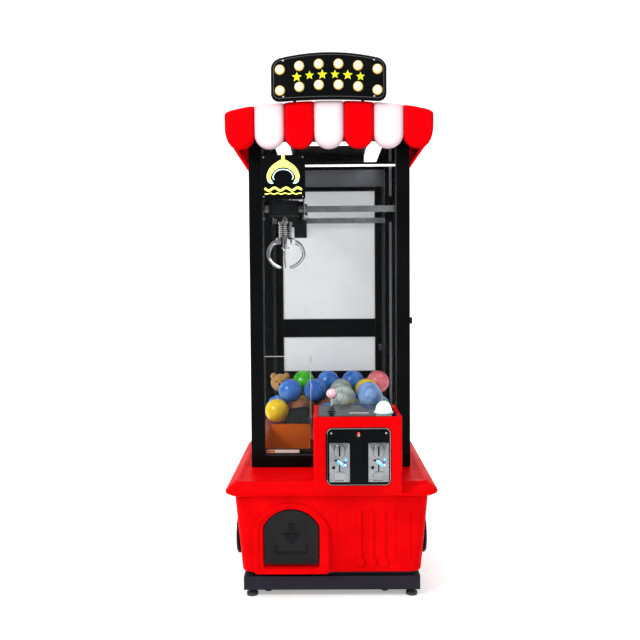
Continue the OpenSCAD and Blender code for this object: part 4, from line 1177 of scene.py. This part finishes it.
@dataclass
class Claw:
    """Chrome claw head, its plunger and three fingers."""

    middle: tuple[float, float] = (-161.0, -22.0)
    width: float = 14.0
    line: tuple = ((-9, 1), (4, 1.5), (20, -2), (34, -13), (43, -29), (45.5, -44), (38, -62), (22, -78), (4, -88),
                   (-13, -93))

    def head(self) -> None:
        """Finish the plunger and the claw head, a stepped solenoid can over a flanged disc, turn raised bands round the
        can that leave cooling grooves between them, and add an eye on top.
        """
        polished("claw_plunger", ZINC, 0.5)
        polished("claw_head", CHROME, 0.6)
        (x, y), top = self.middle, box_mm("claw_head")[1][2]
        bands = Shape()
        for k in range(6):
            z = top - 28 - 7 * k
            bands.lathe([(22.6, z - 1.6), (23.8, z - 1.2), (24.2, z), (23.8, z + 1.2), (22.6, z + 1.6)], (x, y, 0))
        bands.build("claw_can_bands", ZINC, "claw")
        eye = np.array([(x + 6 * math.sin(a), y, top + 3 + 5 * math.cos(a)) for a in np.linspace(0, TURN, 24)[:-1]])
        Shape().tube(eye, 1.6, 8, loop=True, up=(0, 1, 0)).build("claw_eye", CHROME, "claw")

    def fingers(self) -> None:
        """Carry a flattened oval along each finger's line, thick at the knuckle and thin at the tip."""
        pivot_r, pivot_z = 30.0, 1192.0
        line = through(list(self.line), 10)
        share = np.linspace(0, 1, len(line))
        radius = self.width / 2 * (1.28 - 0.45 * share) * np.sqrt(np.clip(1 - (2 * share - 1) ** 24, 0.02, 1))
        for k in range(3):
            turn = math.radians(120 * k - 90)
            out = np.array([math.cos(turn), math.sin(turn), 0])
            flat = np.array([-math.sin(turn), math.cos(turn), 0])
            at = np.array([*self.middle, pivot_z]) + pivot_r * out
            path = at + line[:, :1] * out + line[:, 1:] * np.array([0, 0, 1])
            finger = Shape().tube(path, radius, 16, up=tuple(flat), squeeze=0.6)
            hub = through([(2.6, -3), (6.3, -3), (6.6, 0), (6.3, 3), (2.6, 3)], 4)
            ring = np.arange(32) * TURN / 32
            around = np.cos(ring)[:, None] * out + np.sin(ring)[:, None] * np.array([0, 0, 1])
            finger.skin(at + hub[:, None, :1] * around[None] + hub[:, None, 1:] * flat)
            finger.build(f"claw_finger_{k + 1}_cast", CHROME, f"finger_{k + 1}", (f"claw_finger_{k + 1}",),
                         smooth=60)

    def build(self) -> None:
        """Make the head and the fingers."""
        self.head()
        self.fingers()


# ---------------------------------------------------------------- awning and signs


@dataclass
class Awning:
    """Seven puffed front stripes, two plain side panels and the lid between them."""

    stripe: float = 100.0
    rise: float = 46.0
    puff: float = 16.0

    def crown(self, x: Array) -> Array:
        """Height of the awning's top edge: a shallow curve that falls away faster at the two ends."""
        high = box_mm("awning_white")[1][2]
        return high - 2.5 * (x / 100) ** 2 - 6 * np.clip((abs(x) - 255) / 95, 0, 1) ** 2

    def stripe_form(self, shape: Shape, middle: float) -> None:
        """Add one stripe: a cushion between a round scalloped hem and the crown, fullest in the middle.

        Across by u and up by v, both from -1 to 1, it stands proud by the puff times two square roots: of one
        less u to the sixth power, and of one less v to the eighth power below the middle. Above the middle it
        rolls back over the crown by the square root of one less v to the fourteenth power.

        Args:
            shape: the shape of the stripe's colour.
            middle: the stripe's middle across the machine.
        """
        low = box_mm("awning_red")[0]
        half = self.stripe / 2 - 0.2
        u, v = np.meshgrid(np.sin(np.linspace(-1, 1, 41) * math.pi / 2),
                           np.sin(np.linspace(-1, 1, 45) * math.pi / 2))
        x = middle + half * u
        outer = np.clip(np.sign(middle) * u * (abs(middle) > 250), 0, 1)
        hem = box_mm("awning_white")[0][2] + 8 + self.rise * (1 - np.sqrt(1 - np.minimum(abs(u), 0.9999) ** 2))
        top = self.crown(x) - 4 * outer ** 6
        z = hem + (top - hem) * (v + 1) / 2
        x = x - np.sign(middle) * outer ** 2 * 5 * np.clip(-v, 0, 1) ** 3
        swell = (1 - abs(u) ** 6) ** 0.5
        hem_turn = (1 - np.clip(-v, 0, 1) ** 8) ** 0.5
        crown_turn = (1 - np.clip(v, 0, 1) ** 14) ** 0.5
        y_front = low[1] + self.puff * (1 - swell * hem_turn) + 12 * (1 - crown_turn)
        front = np.stack([x, np.minimum(y_front, low[1] + 33), z], -1)
        back = np.stack([x, np.full_like(x, low[1] + 36), z], -1)
        # Each point's share of painted shade: strongest at the stripe's sides, then up the crown where it rolls back,
        # least along the hem.
        edge = np.clip(0.8 * abs(u) ** 5 + 0.6 * np.clip(v, 0, 1) ** 5 + 0.3 * np.clip(-v, 0, 1) ** 8, 0, 0.9)
        shape.pillow(front, back, edge)

    def side_form(self, shape: Shape, side: int) -> None:
        """Add one side panel: its section bulges from the roof and tucks in to the hem, carried along the
        side with its ends rounded in."""
        low, high = box_mm("awning_red")
        section = through([(301, 1621), (322, 1623), (340, 1612), (348, 1588), (349, 1558), (344, 1530), (330, 1508),
                           (313, 1494)], 8)
        inner = shrunk(section, -5.0)
        inner[:, 0] = np.minimum(inner[:, 0], section[:, 0] - 3)
        s = np.linspace(0, 1, 41)
        depth = low[1] + 36.4 + (high[1] - low[1] - 36.8) * s
        pull = 1 - 0.5 * (2 * s - 1) ** 24
        grids = []
        for profile in (section, inner):
            x = 301 + (profile[:, 0][:, None] - 301) * pull[None]
            grids.append(np.stack([side * x, np.broadcast_to(depth, x.shape),
                                   np.broadcast_to(profile[:, 1][:, None], x.shape)], -1))
        shape.pillow(*grids)

    def build(self) -> None:
        """Make the red pieces, the white pieces, and the lid behind the crown."""
        red, white = Shape(), Shape()
        for k in range(-3, 4):
            self.stripe_form(white if k % 2 == 0 else red, k * self.stripe)
        for side in (-1, 1):
            self.side_form(red, side)
        lid = Shape()
        for side in (-1, 1):
            lid.block((side * 150, -218, 1612.5), (side * 311, 380, 1622))
        lid.block((-149, 60, 1612.5), (149, 380, 1618))
        red.build("awning_red_moulding", AWNING_RED, "machine", ("awning_red",), smooth=70)
        white.build("awning_white_moulding", AWNING_WHITE, "machine", ("awning_white",), smooth=70)
        lid.build("awning_lid", AWNING_RED, "machine", bevel=1.5)


@dataclass
class RoofSign:
    """The black sign board with its bulbs, border and row of stars."""

    bulb: float = 15.6
    across: tuple[float, ...] = (-161.0, -97.0, -32.5, 32.5, 97.0, 161.0)

    def outline(self, grow: float) -> Array:
        """Outline of the board: a rounded rectangle bent into a shallow arch, less at its foot."""
        high = box_mm("sign_board")[1][2]
        half, top, foot = 191 + grow, high + grow, high - 154 - grow
        shape = rounded_outline((-half, foot), (half, top), 30 + grow, 12, (4, 60, 4, 60))
        rise = (shape[:, 1] - foot) / (top - foot)
        shape[:, 1] -= shape[:, 0] ** 2 * (rise / 1400 + (1 - rise) / 4400)
        return shape

    def star(self, x: float, z: float, size: float) -> Array:
        """Outline of a five-pointed star."""
        angle = -np.arange(10) * TURN / 10 + math.pi / 2
        r = np.where(np.arange(10) % 2 == 0, size, size * 0.45)
        return np.column_stack([x + r * np.cos(angle), z + r * np.sin(angle)])[::-1]

    def build(self) -> None:
        """Make the board, its border, bulbs, screws and stars."""
        low, high = box_mm("sign_board")
        front, back = low[1], -256.0
        board = Shape().plate(self.outline(0), front, back, 4.5)
        for x in (-120, 110):
            board.block((x, back, 1662), (x + 10, -209, 1672))
            board.block((x, -217, 1625), (x + 10, -209, 1663))
        board.build("sign_board_steel", CABINET, "machine", ("sign_board",), smooth=40)
        Shape().tube(lifted(self.outline(-9), front - 0.2, Axis.Y), 0.9, 6, loop=True, up=(0, 1, 0)).build(
            "sign_border", BORDER, "machine")
        bulbs, collars, screws, stars = Shape(), Shape(), Shape(), Shape()
        top = high[2]
        for x in self.across:
            for drop in (39, 107):
                at = (x, front, top - drop - x * x / 1400)
                bulbs.lathe([(r, -h) for r, h in dome(self.bulb - 1.6, 15.5, 0.6)], at, Axis.Y, 40)
                collars.lathe([(13, 0.5), (16.6, 0.5), (16.6, -0.8), (15.8, -2.2), (14.4, -2.6), (13, -2)],
                              at, Axis.Y, 40)
        for x in (-150, 150):
            for drop in (12, 141):
                screws.screw((x, front, top - drop - x * x / (1400 if drop < 50 else 4400)), 3.2)
        for k, x in enumerate((-105, -63, -21, 21, 63, 105)):
            stars.prism(self.star(x, top - 74 - x * x / 1400, 15 if k % 2 else 17), front - 2.2, front + 0.5)
        bulbs.build("sign_bulb_glass", BULB, "machine", ("sign_bulbs",), smooth=60)
        collars.build("sign_bulb_collars", BULB_RIM, "machine", smooth=40)
        screws.build("sign_screws", ZINC, "machine")
        stars.build("sign_stars", DECAL, "machine", bevel=0.6)


@dataclass
class NeonSign:
    """The hanging board with a glowing claw and a wave under it."""

    centre: tuple[float, float] = (-155.0, 1396.0)

    def build(self) -> None:
        """Make the board and its tubes."""
        polished("neon_board", CABINET, 1.0)
        low = box_mm("neon_board")[0]
        y = low[1] - 3.6
        lime, ice = Shape(), Shape()

        def line(spots: list, lift: float = 0.0) -> Array:
            """Draw a smooth line through spots about the pictogram's centre, on the board's face.

            Args:
                spots: pairs across and up from the centre.
                lift: how far the line stands off the tubes' usual plane, towards the front.

            Returns:
                The points of the line.
            """
            path = through(spots, 10)
            return np.column_stack([self.centre[0] + path[:, 0], np.full(len(path), y - lift),
                                    self.centre[1] + path[:, 1]])

        for side in (-1, 1):
            arm = line([(side * h, z) for h, z in ((0, 44), (18, 40), (36, 27), (47, 8), (47, -6), (38, -15))])
            lime.tube(arm, np.interp(np.linspace(0, 1, len(arm)), [0, 0.3, 0.75, 1], [11, 9.5, 6.5, 2.5]), 14,
                      up=(0, 1, 0), squeeze=0.4)
            ice.tube(line([(side * h, z) for h, z in ((0, 26), (16, 23), (28, 14), (34, 0), (30, -8))], 0.6), 1.6, 8,
                     up=(0, 1, 0))
            ice.tube(line([(side * h, z) for h, z in ((53, -4), (50, -14), (42, -20), (33, -19))], 0.6), 1.5, 8,
                     up=(0, 1, 0))
        lime.tube(line([(0, 40), (0, 52), (0, 62), (0, 72)]), 5.5, 12, up=(0, 1, 0), squeeze=0.5)
        lime.tube(line([(-16, 46), (0, 52), (16, 46)]), 7, 12, up=(0, 1, 0), squeeze=0.5)
        x = np.linspace(-62, 62, 90)
        wave = np.column_stack([self.centre[0] + x, np.full(90, y), self.centre[1] - 40 + 4.5 * np.sin(x / 6.2)])
        lime.tube(wave, 3.8, 10, up=(0, 1, 0), squeeze=0.8)
        ripple = np.column_stack([self.centre[0] + x, np.full(90, y), self.centre[1] - 55 + 1.6 * np.sin(x / 4.0)])
        lime.tube(ripple, 1.8, 8, up=(0, 1, 0))
        lime.build("neon_lime_tubes", NEON, "machine", ("neon_tubes",), smooth=60)
        ice.build("neon_ice_tubes", NEON_BLUE, "machine", smooth=60)
        screws = Shape()
        for dx in (-221, -89):
            for z in (1331, 1463):
                screws.screw((dx, low[1], z), 2.2)
        screws.build("neon_board_screws", ZINC, "machine")


# ---------------------------------------------------------------- prizes


@dataclass
class Prizes:
    """The heap of two-part prize balls with one plush bear among them.

    Each letter of kinds gives the finish of the ball at the same place in layer and heap; M is the bear.
    """

    radius: float = 48.0
    layer: tuple = tuple((x, y, 540.0) for x in (-210, -108, -6, 96, 198) for y in (162, 264)) + tuple(
        (x, y, 540.0) for x in (-6, 96, 198) for y in (-42, 60))
    heap: tuple = ((-159, 205, 613), (-57, 205, 613), (45, 205, 613), (147, 205, 613), (42, 108, 613),
                   (150, 108, 613), (48, 8, 613), (150, 12, 613), (-205, 288, 636), (-108, 300, 636),
                   (-6, 300, 636), (96, 300, 636), (198, 288, 636))
    kinds: str = "YBOYOGYBGPCBYPGBBBCYCPCPMGBBK"

    def ball(self, shape: Shape, at: tuple, rng: np.random.Generator) -> None:
        """Add one ball: a sphere with a raised seam round it, turned at random."""
        turn = np.linspace(-math.pi / 2, math.pi / 2, 31)
        seam = 1.1 * np.exp(-(turn / 0.045) ** 2)
        r = self.radius - 1.3 + seam
        spin = rng.normal(size=(3, 3))
        spin, _ = np.linalg.qr(spin)
        shape.lathe(list(zip(r * np.cos(turn), r * np.sin(turn))), at, Axis.Z, 48, spin)

    def bear(self, at: tuple) -> bpy.types.Object:
        """Make a plush bear's head: a soft round head with two ears and a short muzzle, its nap a fine
        ripple of the radius with the angle."""
        plush = Shape()
        x, y, z = at
        turn = np.linspace(-math.pi / 2, math.pi / 2, 40)
        for (dx, dy, dz), r, tall in (((0, 0, 0), 38, 0.92), ((-26, -4, 27), 13, 1), ((26, -4, 27), 13, 1),
                                      ((0, -31, -6), 15, 0.8)):
            wave = 1 + 0.02 * np.sin(turn * 37)
            plush.lathe(list(zip(r * np.cos(turn) * wave, r * tall * np.sin(turn) * wave)), (x + dx, y + dy, z + dz),
                        sides=56)
        return plush.build("plush_bear", Toy.PLUSH.value, "machine", smooth=80)

    def build(self) -> None:
        """Make the balls of each kind as one piece, and the soft toy."""
        rng = np.random.default_rng(7)
        letters = {"B": Toy.BLUE, "Y": Toy.YELLOW, "G": Toy.GREEN, "K": Toy.PINK, "P": Toy.PALE, "C": Toy.CLEAR,
                   "O": Toy.BROWN}
        shapes = {kind: Shape() for kind in letters.values()}
        for at, letter in zip(self.layer + self.heap, self.kinds):
            if letter in letters:
                self.ball(shapes[letters[letter]], at, rng)
            else:
                self.bear(at)
        for kind, shape in shapes.items():
            stands = ("prizes",) if kind is Toy.BLUE else ()
            shape.build("balls_" + kind.name.lower(), kind.value, "machine", stands, smooth=60)
        noses = Shape()
        x, y, z = self.heap[self.kinds.index("M") - len(self.layer)]
        noses.lathe([(r, -h) for r, h in dome(5, 4)], (x, y - 45, z - 2), Axis.Y, 20)
        for dx in (-13, 13):
            noses.lathe([(r, -h) for r, h in dome(3.4, 3)], (x + dx, y - 35, z + 9), Axis.Y, 16)
        noses.build("plush_bear_eyes", BLACK_ABS, "machine")


# ---------------------------------------------------------------- studio


@dataclass
class Studio:
    """Pale floor and backdrop, soft lights and the camera."""

    lens: float = 41.06
    camera: tuple[float, float, float] = (-0.015, -2.710, 1.016)
    down: float = 2.353
    left: float = 0.45
    roll: float = 0.40

    def floor(self) -> None:
        """Make one pale sheet that is floor in front and curves up into the backdrop."""
        turn = np.linspace(0, math.pi / 2, 14)
        line = [(-5000, 0), (-2000, 0), (1500, 0)]
        line += [(2600 + 900 * math.sin(t), 900 - 900 * math.cos(t)) for t in turn] + [(3500, 5200)]
        x = np.linspace(-6000, 6000, 9)
        y, z = np.array(line, float).T
        grid = np.stack(np.broadcast_arrays(x[None], y[:, None], z[:, None]), -1)
        rows, columns = grid.shape[:2]
        index = np.arange(rows * columns).reshape(rows, columns)
        quads = np.stack([index[:-1, :-1], index[:-1, 1:], index[1:, 1:], index[1:, :-1]], -1).reshape(-1, 4)
        mesh = bpy.data.meshes.new("studio_floor")
        mesh.from_pydata((grid.reshape(-1, 3) * MM).tolist(), [], quads.tolist())
        mesh.shade_smooth()
        paper = Finish("backdrop_paper", "#F4F4F4", "#F1F1F1", 0.9, glow=0.38, grain_mm=6, grain=0.01)
        mesh.materials.append(paper.material())
        sheet = bpy.data.objects.new("studio_floor", mesh)
        bpy.context.scene.collection.objects.link(sheet)

    def area(self, name: str, at: tuple, size: float, watts: float, aim: tuple = (0, 0, 1.0)) -> None:
        """Hang one square soft light that points at a spot."""
        light = bpy.data.lights.new(name, "AREA")
        light.energy, light.size = watts, size
        lamp = bpy.data.objects.new(name, light)
        lamp.location = at
        lamp.rotation_euler = (Vector(aim) - Vector(at)).to_track_quat("-Z", "Y").to_euler()
        bpy.context.scene.collection.objects.link(lamp)

    def build(self) -> None:
        """Make the floor, the lights, the even surrounding light and the camera."""
        self.floor()
        self.area("key_light", (-2.6, -2.5, 2.9), 1.4, 125)
        self.area("fill_light", (2.4, -2.6, 1.8), 2.2, 24)
        self.area("top_light", (0.0, -0.4, 3.6), 2.6, 55)
        self.area("back_light", (0.6, 3.0, 2.6), 1.8, 40)
        scene = bpy.context.scene
        world = bpy.data.worlds.new("studio_air")
        scene.world = world
        world.use_nodes = True
        air = world.node_tree.nodes["Background"]
        air.inputs["Color"].default_value = linear("#FFFFFF")
        air.inputs["Strength"].default_value = 0.38
        scene.view_settings.view_transform = "Standard"
        data = bpy.data.cameras.new("camera")
        data.lens, data.sensor_width, data.sensor_fit = self.lens, 36.0, "HORIZONTAL"
        data.clip_end = 60
        eye = bpy.data.objects.new("camera", data)
        turn = (Matrix.Rotation(math.radians(self.left), 4, "Z") @ Matrix.Rotation(math.radians(90 - self.down), 4, "X")
                @ Matrix.Rotation(math.radians(-self.roll), 4, "Z"))
        eye.matrix_world = Matrix.Translation(self.camera) @ turn
        scene.collection.objects.link(eye)
        scene.camera = eye


def main() -> None:
    """Build every part of the machine in order, and report each."""
    logging.basicConfig(level=logging.INFO, format="%(name)s: %(message)s")
    for part in (Studio(), RunningGear(), Base(), PrizeHatch(), Console(), Cabinet(), Gantry(), Claw(), Awning(),
                 RoofSign(), NeonSign(), Prizes()):
        before = len(bpy.data.objects)
        part.build()
        log.info("%s: %d pieces", type(part).__name__, len(bpy.data.objects) - before)


if __name__ == "__main__":
    main()
